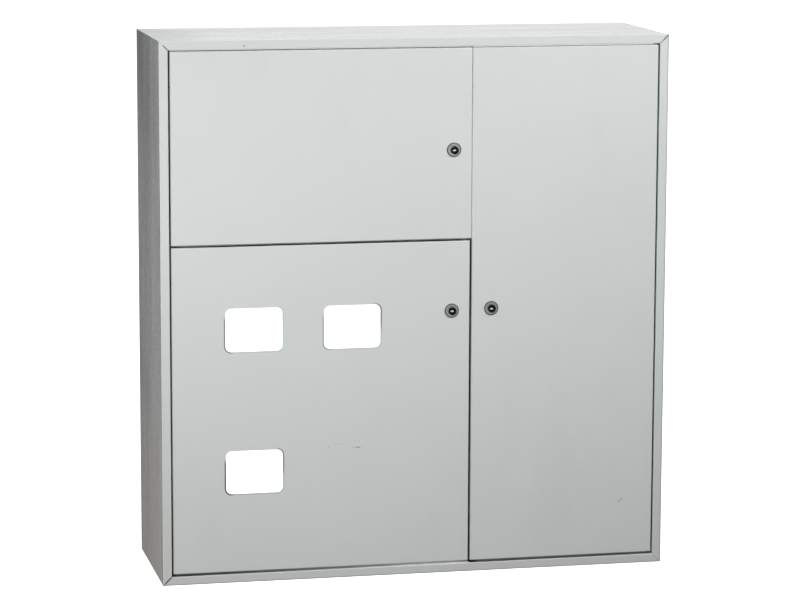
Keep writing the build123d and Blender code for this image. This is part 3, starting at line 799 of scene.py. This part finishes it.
@dataclass(frozen=True)
class LockBezel:
    """Satin bezel of a lock: mid grey, darker in a line round its rim, with painted shade inside its recess
    and away from its upper left.
    """

    name: str
    centre: Pair
    colour: Rgb = (0.44, 0.44, 0.445)
    darker: Rgb = grey(0.55)
    grime_and_shade: Rgb = grey(0.012)
    rim: Steps = (0.01105, 0.01245, 0.0, 0.92)
    rim_depth: float = deep(0.3)
    recess_depth: float = deep(9.5)
    low_left: Steps = (-0.014, 0.012, 0.45)

    def build(self) -> Material:
        """The metal: its level depends on the distance to the lock's own axis.

        Returns:
            The material.
        """
        nodes = NodeSheet(self.name)
        x, y, z = nodes.xyz()
        off_x, off_z, from_well = lock_places(x, z, self.centre)
        # A dark line round the rim, and painted shade in the recess.
        ring = off_x.hypot(off_z).ramp(*self.rim) * (y < self.rim_depth)
        dark = ring.most(from_well.fade(*WELL_EDGE) * (y < self.recess_depth))
        cloud = nodes.noise(160.0, detail=4.0, rough=0.6)
        # Painted shade away from the upper left, with cloudy tone.
        shade = (cloud * 0.4 + (off_z - off_x).fade(*self.low_left)).least(1.0)
        layers = [(shade, tinted(self.colour, self.darker)), (dark, self.grime_and_shade)]
        return nodes.shade(
            Base_Color=nodes.layered(self.colour, layers),
            Metallic=(1.0 - dark) * 0.6,
            Roughness=cloud.ramp(0.2, 0.8, 0.42, 0.56) + dark * 0.3,
            Normal=nodes.bump(nodes.noise(900.0, detail=3.0), 0.00001, 0.6),
            Specular_IOR_Level=0.25,
        )


@dataclass(frozen=True)
class LockInsert:
    """Black recess of a lock, its black partly painted shade; a painted highlight of bright steel lies on the
    lower part of the three-sided insert that stands in it.
    """

    name: str
    centre: Pair
    black: Rgb = grey(0.004)
    steel: Rgb = (0.90, 0.90, 0.89)
    face: float = deep(3.1)
    rear: float = deep(20.3)
    highlight_band: Scratch = Scratch((-0.0008, -0.0022), (0.0040, -0.0001), 0.0011, 1.0)

    def build(self) -> Material:
        """Black between the face and the rear of the core, partly painted shade; steel behind, and a painted
        highlight in a band on the face.

        Returns:
            The material.
        """
        nodes = NodeSheet(self.name)
        x, y, z = nodes.xyz()
        off_x, off_z, from_well = lock_places(x, z, self.centre)
        # Painted highlight: bright steel in a band on the insert's lower face.
        bare = (self.highlight_band.mask(off_x, off_z) * (y < self.face)).most(y > self.rear)
        # The recess's painted shade is a disc shifted off the axis; round it the core takes the bezel wall's
        # grey.
        outside = from_well.ramp(*WELL_EDGE) * (y < self.rear)
        grime_and_shade = nodes.noise(700.0, detail=4.0)
        steel = nodes.blend(grime_and_shade.ramp(0.4, 0.8) * 0.4, self.steel, Tone.GRIMY_STEEL)
        return nodes.shade(
            Base_Color=nodes.layered(self.black, [(outside, Tone.BEZEL_WALL), (bare, steel)]),
            Metallic=bare * 0.3,
            Roughness=grime_and_shade.ramp(0.2, 0.8, 0.36, 0.5),
            Normal=nodes.bump(grime_and_shade, 0.00002, 0.5),
            Specular_IOR_Level=0.2,
        )


@dataclass(frozen=True)
class MouldedPlastic:
    """Moulded insulating plastic with a fine spark-eroded grain."""

    name: str
    colour: Rgb = (0.035, 0.075, 0.24)

    def build(self) -> Material:
        """The plastic: even colour, dusted, with grain in its surface.

        Returns:
            The material.
        """
        nodes = NodeSheet(self.name)
        dust = nodes.noise(40.0, detail=4.0).ramp(0.45, 0.75)
        grain = nodes.noise(1800.0, detail=2.0)
        return nodes.shade(
            Base_Color=nodes.blend(dust * 0.12, self.colour, Tone.PALE_DUST),
            Roughness=grain.ramp(0.2, 0.8, 0.42, 0.55),
            Normal=nodes.bump(grain, 0.00003, 0.6),
        )


@dataclass(frozen=True)
class ClearPane:
    """Clear acrylic: see-through with a faint sheen that grows towards grazing views."""

    name: str
    tint: Rgb = (0.985, 0.992, 0.99)
    dust: Rgb = (0.86, 0.88, 0.88)
    dust_share: float = 0.045
    sheen_share: float = 0.5
    index: float = 1.38

    def build(self) -> Material:
        """The pane: mostly clear, with dust and a glossy coat by Fresnel.

        Returns:
            The material.
        """
        nodes = NodeSheet(self.name)
        haze = nodes.noise(25.0, detail=5.0, rough=0.6).ramp(0.35, 0.8, 0.4, 1.0)
        gloss = nodes.number("ShaderNodeFresnel", {}, {"IOR": self.index})
        clear = nodes.add("ShaderNodeBsdfTransparent", inputs={"Color": self.tint}).outputs[0]
        rough = haze.ramp(0.0, 1.0, 0.05, 0.16)
        looks = {"Base Color": self.dust, "Roughness": rough, "Specular IOR Level": 0.5}
        coat = nodes.add("ShaderNodeBsdfPrincipled", inputs=looks).outputs[0]
        share = (haze * self.dust_share + gloss * self.sheen_share).least(0.9)
        mixed = nodes.add("ShaderNodeMixShader", inputs={0: share, 1: clear, 2: coat}).outputs[0]
        nodes.fill(nodes.output.inputs["Surface"], mixed)
        return nodes.owner


@dataclass(frozen=True)
class StudioFloor:
    """Plain pale floor with the softest of shadows."""

    name: str
    colour: Rgb = grey(0.82)
    glow: float = 0.92

    def build(self) -> Material:
        """A white matt floor that also glows, so that its shadow stays faint.

        Returns:
            The material.
        """
        return NodeSheet(self.name).shade(
            Base_Color=self.colour, Roughness=0.9, Emission_Color=grey(1.0), Emission_Strength=self.glow
        )


# Surfaces


class Surface:
    """Meshes made from whole arrays of points."""

    SHARP_DEG: float = 34.0

    @staticmethod
    def sheet_faces(rows: int, columns: int) -> np.ndarray:
        """Quads of a grid whose points are numbered row by row; its last column joins the first.

        Args:
            rows: Points along the first parameter.
            columns: Points along the second parameter.

        Returns:
            Four point numbers a face.
        """
        row, column = np.meshgrid(np.arange(rows - 1), np.arange(columns), indexing="ij")
        here, beside = row * columns + column, row * columns + (column + 1) % columns
        return np.stack((here, beside, beside + columns, here + columns), axis=-1).reshape(-1, 4)

    @staticmethod
    def object(name: str, patches: Sequence[Patch]) -> Piece:
        """One object from patches of points and quads, doubles merged and faces outwards.

        Args:
            name: The object's name.
            patches: Pairs of an (n, 3) array of points and an (m, 4) array of faces.

        Returns:
            The object, at the origin.
        """
        starts = np.cumsum([0] + [len(points) for points, _ in patches[:-1]])
        points = np.concatenate([points for points, _ in patches])
        faces = np.concatenate([faces + start for (_, faces), start in zip(patches, starts)])
        mesh = bpy.data.meshes.new(name)
        mesh.from_pydata(points.tolist(), [], faces.tolist())
        work = bmesh.new()
        work.from_mesh(mesh)
        bmesh.ops.remove_doubles(work, verts=work.verts, dist=1e-6)
        bmesh.ops.dissolve_degenerate(work, edges=work.edges, dist=1e-7)
        bmesh.ops.recalc_face_normals(work, faces=work.faces)
        work.to_mesh(mesh)
        work.free()
        mesh.shade_smooth()
        mesh.set_sharp_from_angle(angle=math.radians(Surface.SHARP_DEG))
        piece = bpy.data.objects.new(name, mesh)
        bpy.context.scene.collection.objects.link(piece)
        return piece

    @staticmethod
    def turned(profile: Sequence[Pair], segments: int, rule: Rule) -> Patch:
        """Closed surface turned about an axis: (r cos v, a, r sin v) for each (a, r) of a profile.

        Args:
            profile: Closed loop, or run from axis to axis, of places along the axis and radii (mm).
            segments: Points round the axis.
            rule: Gives the radii from (along, radius, angle), for threads and flats.

        Returns:
            Points in millimetres, axis along the second coordinate, and faces.
        """
        along, out = np.array(profile, float).T
        angle = np.linspace(0.0, 2 * math.pi, segments, endpoint=False)
        along, angle = np.meshgrid(along, angle, indexing="ij")
        out = rule(along, np.repeat(out[:, None], segments, axis=1), angle)
        points = np.stack((out * np.cos(angle), along, out * np.sin(angle)), axis=-1)
        return points.reshape(-1, 3), Surface.sheet_faces(len(profile), segments)

    @staticmethod
    def arc(centre: Pair, radius: float, start_deg: float, end_deg: float, count: int) -> list[Pair]:
        """Points (a, r) of a circular arc in a profile: centre + radius (cos t, sin t).

        Args:
            centre: Its centre along and out (mm).
            radius: Its radius (mm).
            start_deg: First angle.
            end_deg: Last angle.
            count: Number of points.

        Returns:
            The points.
        """
        turn = np.radians(np.linspace(start_deg, end_deg, count))
        places = np.stack((centre[0] + radius * np.cos(turn), centre[1] + radius * np.sin(turn)), axis=-1)
        return [tuple(place) for place in places.tolist()]

    @staticmethod
    def strip(across: Pair, depth: Pair, height: Pair) -> list[Patch]:
        """A bar (x, y, z): its rectangular section in x and y swept up along z, and its two ends.

        Args:
            across: Its sides, across the board (mm).
            depth: Its front and rear, behind the front face (mm).
            height: Its lower and upper end (mm).

        Returns:
            Patches of points in millimetres and faces.
        """
        section = np.array([(across[i], depth[j]) for i, j in ((0, 0), (1, 0), (1, 1), (0, 1))])
        levels = np.repeat(np.array(height)[:, None], len(section), axis=1)
        swept = np.broadcast_to(section, (2, *section.shape))
        points = np.concatenate((swept, levels[..., None]), axis=-1).reshape(-1, 3)
        return [(points, Surface.sheet_faces(2, 4)), (points, np.array(((0, 1, 2, 3), (4, 5, 6, 7))))]

    @staticmethod
    def placed(patch: Patch, place: Vec3 = (0.0, 0.0, 0.0), order: tuple[int, int, int] = (0, 1, 2)) -> Patch:
        """A patch put in its place on the board.

        Args:
            patch: Points and faces in millimetres.
            place: Where its zero goes: across, behind the front face, and up (mm).
            order: Which of the patch's coordinates runs along X, Y and Z.

        Returns:
            The patch in metres.
        """
        points, faces = patch
        across, depth, height = place
        return (points[:, list(order)] + np.array((across, FRONT / MM + depth, height))) * MM, faces


# Sub-assemblies


@dataclass(frozen=True)
class Thread:
    """A thread on a barrel or stud, from start to end, with optional flats on two sides (mm)."""

    pitch: float
    depth: float
    radius: float
    start: float = -math.inf
    end: float = math.inf
    flats: float = math.inf

    def cut(self, along: np.ndarray, out: np.ndarray, angle: np.ndarray) -> np.ndarray:
        """Radius less a triangle wave of (along / pitch - angle / turn), kept between the flats.

        Args:
            along: Places along the axis.
            out: Plain radii; only those of the threaded part itself are changed.
            angle: Angles round the axis.

        Returns:
            The threaded radii.
        """
        threaded = (np.abs(out - self.radius) < 1e-6) & (along >= 0)
        phase = np.mod(along / self.pitch - angle / (2 * math.pi), 1.0)
        groove = self.depth * np.abs(2.0 * phase - 1.0)
        fade = np.clip((along - self.start) / self.pitch, 0, 1)
        fade = fade * np.clip((self.end - along) / self.pitch, 0, 1)
        flat = self.flats / 2 / np.maximum(np.abs(np.cos(angle)), 1e-9)
        return np.where(threaded, np.minimum(out - groove * fade, flat), out)


@dataclass(frozen=True)
class HexNut:
    """A chamfered hexagon nut turned about its axis (mm)."""

    across_flats: float
    bore: float
    thickness: float
    chamfer: float = 0.9
    segments: int = 96
    face_inset: float = 0.15
    chamfer_steps: int = 5

    def patch(self) -> Patch:
        """Hexagon radius AF/2 / cos(angle to the flat), cut by a cone at both ends.

        Returns:
            Points and faces, the nut's first face at 0 along its axis.
        """
        half = self.across_flats / 2
        corner, rim = half / math.cos(math.radians(30)), half - self.face_inset
        steps = np.linspace(0, 1, self.chamfer_steps).tolist()
        rise = [(step * self.chamfer, rim + step * (corner - rim)) for step in steps]
        fall = [(self.thickness - place, out) for place, out in reversed(rise)]
        profile = [(0.0, self.bore), *rise, *fall, (self.thickness, self.bore), (0.0, self.bore)]

        def hexagon(along: np.ndarray, out: np.ndarray, angle: np.ndarray) -> np.ndarray:
            """The lesser of the cone and the hexagon, never inside the bore."""
            off_flat = np.mod(angle + math.pi / 6, math.pi / 3) - math.pi / 6
            return np.maximum(np.minimum(out, half / np.cos(off_flat)), self.bore)

        return Surface.turned(profile, self.segments, hexagon)


@dataclass
class CamLock:
    """Turned parts of a quarter-turn lock: the bezel with its threaded barrel, and its nut (mm)."""

    door: str
    centre: Pair
    bezel_radius: float = 13.25
    bezel_proud: float = 1.8
    bezel_round: float = 0.8
    barrel_length: float = 20.4
    barrel_step: float = 0.25
    recess_radius: float = 7.75
    recess_bottom: float = 9.0
    recess_round: float = 0.45
    stem_radius: float = 5.0
    segments: int = 96
    thread: Thread = Thread(1.5, 0.45, 9.4, 5.4, 20.2, flats=16.8)
    nut: HexNut = HexNut(22.0, 9.5, 4.0)
    nut_seat: float = 1.2

    def profile(self) -> list[Pair]:
        """Loop of the bezel and its barrel: recess, mouth, rim, barrel and rear end.

        Returns:
            Places behind the front face and radii.
        """
        face, lip, mouth = -self.bezel_proud, self.bezel_round, self.recess_round
        places = np.arange(0.0, self.barrel_length + 0.01, self.barrel_step).tolist()
        return [
            (self.recess_bottom, self.stem_radius),
            (self.recess_bottom, self.recess_radius),
            *Surface.arc((face + mouth, self.recess_radius + mouth), mouth, 270, 180, 5),
            *Surface.arc((face + lip, self.bezel_radius - lip), lip, 180, 90, 6),
            (0.0, self.bezel_radius),
            *[(place, self.thread.radius) for place in places],
            (self.barrel_length, self.stem_radius),
            (self.recess_bottom, self.stem_radius),
        ]

    def build(self, housing_finish: Material, nut_finish: Material) -> list[Piece]:
        """Build the housing and the nut in place of their plain solids.

        Args:
            housing_finish: Satin cast zinc.
            nut_finish: Zinc plating.

        Returns:
            The new pieces.
        """
        across, height = self.centre[0] / MM, self.centre[1] / MM
        body = Surface.turned(self.profile(), self.segments, self.thread.cut)
        housing = Surface.object(f"{self.door}_lock_body", [Surface.placed(body, (across, 0.0, height))])
        housing.data.materials.append(housing_finish)
        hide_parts(f"{self.door}_lock_housing")

        ring = Surface.placed(self.nut.patch(), (across, self.nut_seat, height))
        nut_piece = Surface.object(f"{self.door}_lock_hex_nut", [ring])
        nut_piece.data.materials.append(nut_finish)
        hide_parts(f"{self.door}_lock_nut")
        for piece in (housing, nut_piece):
            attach(piece, f"{self.door}_door_body")
        return [housing, nut_piece]


@dataclass
class EarthStud:
    """Threaded earth stud on the left wall with two chamfered nuts (mm)."""

    wall: float = -473.8
    depth: float = 90.0
    height: float = 52.0
    length: float = 26.0
    chamfer: float = 0.6
    step: float = 0.2
    segments: int = 48
    thread: Thread = Thread(1.25, 0.4, 4.0)
    nut: HexNut = HexNut(13.0, 4.1, 6.5, chamfer=0.7, segments=72)
    nut_starts: Pair = (0.0, 12.7)

    def placed(self, patch: Patch, start: float) -> Patch:
        """A patch with its axis turned to X, its zero this far from the wall."""
        return Surface.placed(patch, (self.wall + start, self.depth, self.height), order=(1, 0, 2))

    def build(self, finish: Material) -> list[Piece]:
        """Build the stud and its nuts in place of their plain solids.

        Args:
            finish: Zinc plating.

        Returns:
            The new pieces.
        """
        radius = self.thread.radius
        places = np.arange(0.0, self.length - self.chamfer + 0.01, self.step).tolist()
        tip = [(self.length, radius - self.chamfer), (self.length, 0.0)]
        profile = [(0.0, 0.0), *[(place, radius) for place in places], *tip]
        rod = Surface.turned(profile, self.segments, self.thread.cut)
        stud = Surface.object("earth_stud_threaded", [self.placed(rod, 0.0)])
        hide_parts("earth_stud")
        rings = [self.placed(self.nut.patch(), start) for start in self.nut_starts]
        nuts = Surface.object("earth_stud_hex_nuts", rings)
        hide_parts("earth_stud_nuts")
        for piece in (stud, nuts):
            piece.data.materials.append(finish)
            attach(piece, "box")
        return [stud, nuts]


@dataclass
class FrameLips:
    """Lips at the rear of the frame's uprights behind the hinge gaps, and strips in the top gap (mm)."""

    outer: float = 458.5
    inner: float = 446.5
    depth: Pair = (28.8, 30.0)
    runs: tuple[Pair, ...] = ((16.5, 628.0), (629.4, 983.5))
    tab_inner: float = 435.0
    tab_low: float = 612.0
    top: float = 983.5
    top_runs: tuple[Vec3, ...] = ((-455.0, 102.0, 0.75), (103.5, 446.0, 1.3))
    top_depth: Pair = (0.3, 14.0)

    def build(self, finish: Material) -> list[Piece]:
        """Build both lips, with a tab behind the doors' row gap, and the top strips.

        Args:
            finish: The frame's paint.

        Returns:
            The new pieces.
        """
        names = ("frame_lip_top", "frame_lip_left", "frame_lip_right")
        swept: dict[str, list[Patch]] = {name: [] for name in names}
        for left, right, drop in self.top_runs:
            height = (self.top - drop, self.top)
            swept["frame_lip_top"] += Surface.strip((left, right), self.top_depth, height)
        for run in self.runs:
            swept["frame_lip_left"] += Surface.strip((-self.outer, -self.inner), self.depth, run)
            swept["frame_lip_right"] += Surface.strip((self.inner, self.outer), self.depth, run)
        tab = (self.tab_low, self.runs[0][1])
        swept["frame_lip_left"] += Surface.strip((-self.inner, -self.tab_inner), self.depth, tab)
        pieces = []
        for name, patches in swept.items():
            piece = Surface.object(name, [Surface.placed(patch) for patch in patches])
            piece.data.materials.append(finish)
            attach(piece, "box")
            pieces.append(piece)
        return pieces


@dataclass
class Dressing:
    """Finishes of the sheet metal and the plain small parts, by node."""

    nodes: dict[str, Piece]

    def named(self, *endings: str) -> list[str]:
        """Names of the nodes with one of these endings."""
        return [name for name in self.nodes if name.endswith(endings)]

    def finish(self, finish: Material, names: Sequence[str]) -> None:
        """Give nodes a finish.

        Args:
            finish: The material.
            names: The nodes.
        """
        for name in names:
            piece = self.nodes[name]
            if not piece.material_slots:
                piece.data.materials.append(finish)
            for slot in piece.material_slots:
                slot.material = finish
            log.info("%s: %s", name, finish.name)

    def apply(self, finishes: dict[str, Material]) -> None:
        """Dress every node that is not built anew.

        Args:
            finishes: Materials by finish name.
        """
        dressed = {
            "frame_paint": ["frame_left", "frame_right", "frame_top", "frame_bottom"],
            "paint": ["cover_plate"],
            "mullion": ["centre_mullion"],
            "zinc_upright": ["left_panel", "right_panel", "centre_partition"],
            "zinc_level": ["top_panel", "bottom_panel"],
            "zinc_inside": ["divider_shelf", "back_strap_top", "back_strap_bottom"],
            "blackened": self.named("_hinge_lugs", "_hinge_leaves", "_hinge_pins"),
            "plating": [
                *self.named("_lock_cam", "_cam_screw"),
                *("device_post_left", "device_post_right", "device_rail_upper", "device_rail_lower"),
                *("rail_screws", "cover_screws", "meter_strips", "low_current_strips"),
                *("terminal_screws", "earth_stud_washers", "window_clips"),
            ],
            "brass": ["neutral_bar", "earth_bar"],
            "insulator": ["bar_supports"],
            "pane": ["window_pane_upper_left", "window_pane_upper_middle", "window_pane_lower_left"],
        }
        for door in LOCK_CENTRES:
            dressed[f"{door}_paint"] = [f"{door}_door"]
            dressed[f"{door}_insert"] = [f"{door}_lock_core"]
        for kind, names in dressed.items():
            self.finish(finishes[kind], names)


# Studio


@dataclass(frozen=True)
class SoftLamp:
    """A soft rectangular lamp that the camera doesn't see (metres, watts)."""

    name: str
    place: Vec3
    aim: Vec3
    size: Pair
    power: float

    def build(self) -> None:
        """Hang the lamp in its place and point it at its aim."""
        light = bpy.data.lights.new(self.name, "AREA")
        light.shape = "RECTANGLE"
        light.size, light.size_y = self.size
        light.energy = self.power
        lamp = bpy.data.objects.new(self.name, light)
        lamp.location = self.place
        lamp.visible_camera = False
        lamp.rotation_euler = (Vector(self.aim) - Vector(self.place)).to_track_quat("-Z", "Y").to_euler()
        bpy.context.scene.collection.objects.link(lamp)


@dataclass
class Studio:
    """Pale floor, white surroundings and soft lamps."""

    floor_half: float = 40.0
    sky_level: Steps = (-0.35, 0.35, 0.10, 0.85)
    ground_share: Steps = (-0.4, 0.4, 0.55, 1.0)
    sky_change: Pair = (-0.3, 0.3)
    ground_tint: Rgb = (1.0, 0.90, 0.84)
    sky_tint: Rgb = (0.97, 0.995, 1.0)
    lamps: tuple[SoftLamp, ...] = (
        SoftLamp("key", (0.88, -1.5, 1.60), (0.0, -0.15, 0.6), (1.5, 1.2), 23.2),
        SoftLamp("overhead", (-0.24, 0.6, 3.0), (-0.08, 0.15, 1.0), (0.9, 1.2), 23.0),
        SoftLamp("fill", (-0.725, -1.7, 0.757), (-0.25, -0.15, 0.35), (0.9, 0.7), 16.3),
    )

    def surround(self) -> None:
        """Light surroundings that dim towards the front and the ground, and look white to the camera."""
        nodes = NodeSheet("studio", world=True)
        _, y, z = nodes.xyz()
        level = y.ramp(*self.sky_level) * z.ramp(*self.ground_share)
        tint = nodes.blend(z.ramp(*self.sky_change), self.ground_tint, self.sky_tint)
        lit = nodes.add("ShaderNodeBackground", inputs={"Color": tint, "Strength": level}).outputs[0]
        seen = nodes.add("ShaderNodeBackground", inputs={"Color": grey(1.0)}).outputs[0]
        straight = nodes.add("ShaderNodeLightPath").outputs["Is Camera Ray"]
        mixed = nodes.add("ShaderNodeMixShader", inputs={0: straight, 1: lit, 2: seen}).outputs[0]
        nodes.fill(nodes.output.inputs["Surface"], mixed)
        bpy.context.scene.world = nodes.owner

    def build(self, floor_finish: Material) -> None:
        """Set up the floor, the surroundings, the lamps and the plain view of the colours.

        Args:
            floor_finish: The floor's material.
        """
        half = self.floor_half
        corners = np.array(((-half, -half, 0), (half, -half, 0), (half, half, 0), (-half, half, 0)), float)
        floor = Surface.object("floor", [(corners, np.array(((0, 1, 2, 3),)))])
        floor.data.materials.append(floor_finish)
        floor.visible_diffuse = False
        floor.visible_glossy = False
        self.surround()
        for lamp in self.lamps:
            lamp.build()
        view = bpy.context.scene.view_settings
        view.view_transform = "Standard"
        view.look = "None"
        view.exposure = 0.0
        view.gamma = 1.0


@dataclass
class ReferenceCamera:
    """Camera at the photograph's viewing angle (metres, degrees)."""

    place: Vec3 = (-1.256, -5.7811, 1.455)
    yaw: float = 12.26
    pitch: float = 9.23
    roll: float = 0.20
    lens: float = 142.92
    sensor: float = 36.0
    clip: Pair = (0.05, 200.0)

    def build(self) -> Piece:
        """Create the camera: yaw turns it to the right, pitch down, roll clockwise.

        Returns:
            The camera object.
        """
        yaw, pitch, roll = (math.radians(angle) for angle in (self.yaw, self.pitch, self.roll))
        forward = Vector((math.sin(yaw) * math.cos(pitch), math.cos(yaw) * math.cos(pitch), -math.sin(pitch)))
        level = Vector((math.cos(yaw), -math.sin(yaw), 0.0))
        upward = level.cross(forward)
        right = level * math.cos(roll) + upward * math.sin(roll)
        upright = upward * math.cos(roll) - level * math.sin(roll)
        data = bpy.data.cameras.new("reference")
        data.sensor_width = self.sensor
        data.sensor_fit = "HORIZONTAL"
        data.lens = self.lens
        data.clip_start, data.clip_end = self.clip
        camera = bpy.data.objects.new("reference", data)
        turn = Matrix((right, upright, -forward)).transposed()
        camera.matrix_world = Matrix.Translation(self.place) @ turn.to_4x4()
        bpy.context.scene.collection.objects.link(camera)
        bpy.context.scene.camera = camera
        return camera


SMUDGE = (-0.4117, -0.0019)
WINDOW_EDGE_SHADES = (
    WindowEdgeShade((-0.3043, 0.4717), left=0.70, right=0.10, below=0.12),
    WindowEdgeShade((-0.1215, 0.4717), left=0.50, right=0.70, below=0.10),
    WindowEdgeShade((-0.3043, 0.2072), left=0.97, right=0.65, below=0.22),
)
LOWER_SCRATCHES = (
    Scratch((-0.1147, 0.2454), (-0.1072, 0.2451), 0.0009, 0.55),
    Scratch((-0.1206, 0.2456), (-0.1204, 0.2456), 0.0007, 0.35),
    Scratch((-0.1154, 0.2582), (-0.1152, 0.2582), 0.0007, 0.35),
    Scratch((-0.1082, 0.2579), (-0.1080, 0.2579), 0.0007, 0.35),
    Scratch((-0.1656, 0.2477), (-0.1654, 0.2477), 0.0008, 0.40),
    Scratch((-0.1557, 0.2529), (-0.1373, 0.2522), 0.0006, 0.14),
)
RIGHT_SCRATCHES = (Scratch((0.3904, 0.1206), (0.3972, 0.1261), 0.0011, 0.30),)
FRAME_MARKS = (Scratch((-0.3203, 0.9896), (-0.3197, 0.9896), 0.0010, 0.85),)
LOCK_CENTRES = {"upper": (0.0682, 0.794), "lower": (0.0656, 0.4955), "right": (0.1405, 0.498)}


def finishes() -> dict[str, Material]:
    """Build every finish of the board and its floor.

    Returns:
        The materials by finish name.
    """
    kinds = {}
    for door, centre in LOCK_CENTRES.items():
        kinds[f"{door}_bezel"] = LockBezel(f"satin_bezel_{door}", centre)
        kinds[f"{door}_insert"] = LockInsert(f"lock_insert_{door}", centre)
    kinds |= {
        "frame_paint": PaintedSheet(
            "grey_paint_frame",
            colour=(0.635, 0.677, 0.667),
            low_shade_colour=(0.618, 0.638, 0.615),
            scratches=FRAME_MARKS,
            seams_and_edge_light=FrameSeamsAndEdgeLight(),
        ),
        "paint": PaintedSheet("grey_paint", gaps=None),
        "mullion": MullionPaint("grey_paint_mullion"),
        "upper_paint": PaintedSheet("grey_paint_upper_door"),
        "lower_paint": PaintedSheet("grey_paint_lower_door", scratches=LOWER_SCRATCHES, window_shades=WINDOW_EDGE_SHADES),
        "right_paint": PaintedSheet("grey_paint_right_door", scratches=RIGHT_SCRATCHES),
        "zinc_upright": GalvanisedSheet(
            "galvanised_upright",
            Rolling.ALONG_Z,
            light=(0.555, 0.605, 0.63),
            dark=(0.295, 0.32, 0.335),
            low_specks=0.8,
            rear_shade=0.27,
        ),
        "zinc_inside": GalvanisedSheet("galvanised_inside", Rolling.ALONG_X),
        # Galvanised sheet of the top and bottom panels: lighter than the side panels' copy, as painted light
        # from above, and less metallic.
        "zinc_level": GalvanisedSheet(
            "galvanised_level",
            Rolling.ALONG_X,
            light=(0.75, 0.75, 0.755),
            dark=(0.56, 0.56, 0.565),
            metal=0.08,
            gloss=0.2,
            end_shade=0.25,
            smudge=SMUDGE,
        ),
        "plating": BareMetal("zinc_plating", (0.60, 0.60, 0.60), 0.34),
        # Blackened steel for the hinge parts; its darkness also stands in for the shade in the hinge gaps.
        "blackened": BareMetal("blackened_steel", (0.06, 0.06, 0.062), 0.45),
        "brass": BareMetal("brass", (0.72, 0.52, 0.24), 0.30, tarnish=(0.28, 0.17, 0.07)),
        "insulator": MouldedPlastic("insulator_plastic"),
        "pane": ClearPane("clear_acrylic"),
        "floor": StudioFloor("pale_floor"),
    }
    return {name: kind.build() for name, kind in kinds.items()}


def main() -> None:
    """Dress the board, build its turned parts, and set up the studio and the camera."""
    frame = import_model()
    log.info("camera: %s", ReferenceCamera().build().name)
    every = finishes()
    Dressing(frame["nodes"]).apply(every)
    pieces: list[Piece] = []
    for door, centre in LOCK_CENTRES.items():
        pieces += CamLock(door, centre).build(every[f"{door}_bezel"], every["plating"])
    pieces += FrameLips().build(every["frame_paint"])
    pieces += EarthStud().build(every["plating"])
    for piece in pieces:
        log.info("%s: %d faces", piece.name, len(piece.data.polygons))
    Studio().build(every["floor"])
    bpy.context.view_layer.update()


if __name__ == "__main__":
    logging.basicConfig(level=logging.INFO, format="%(message)s")
    main()
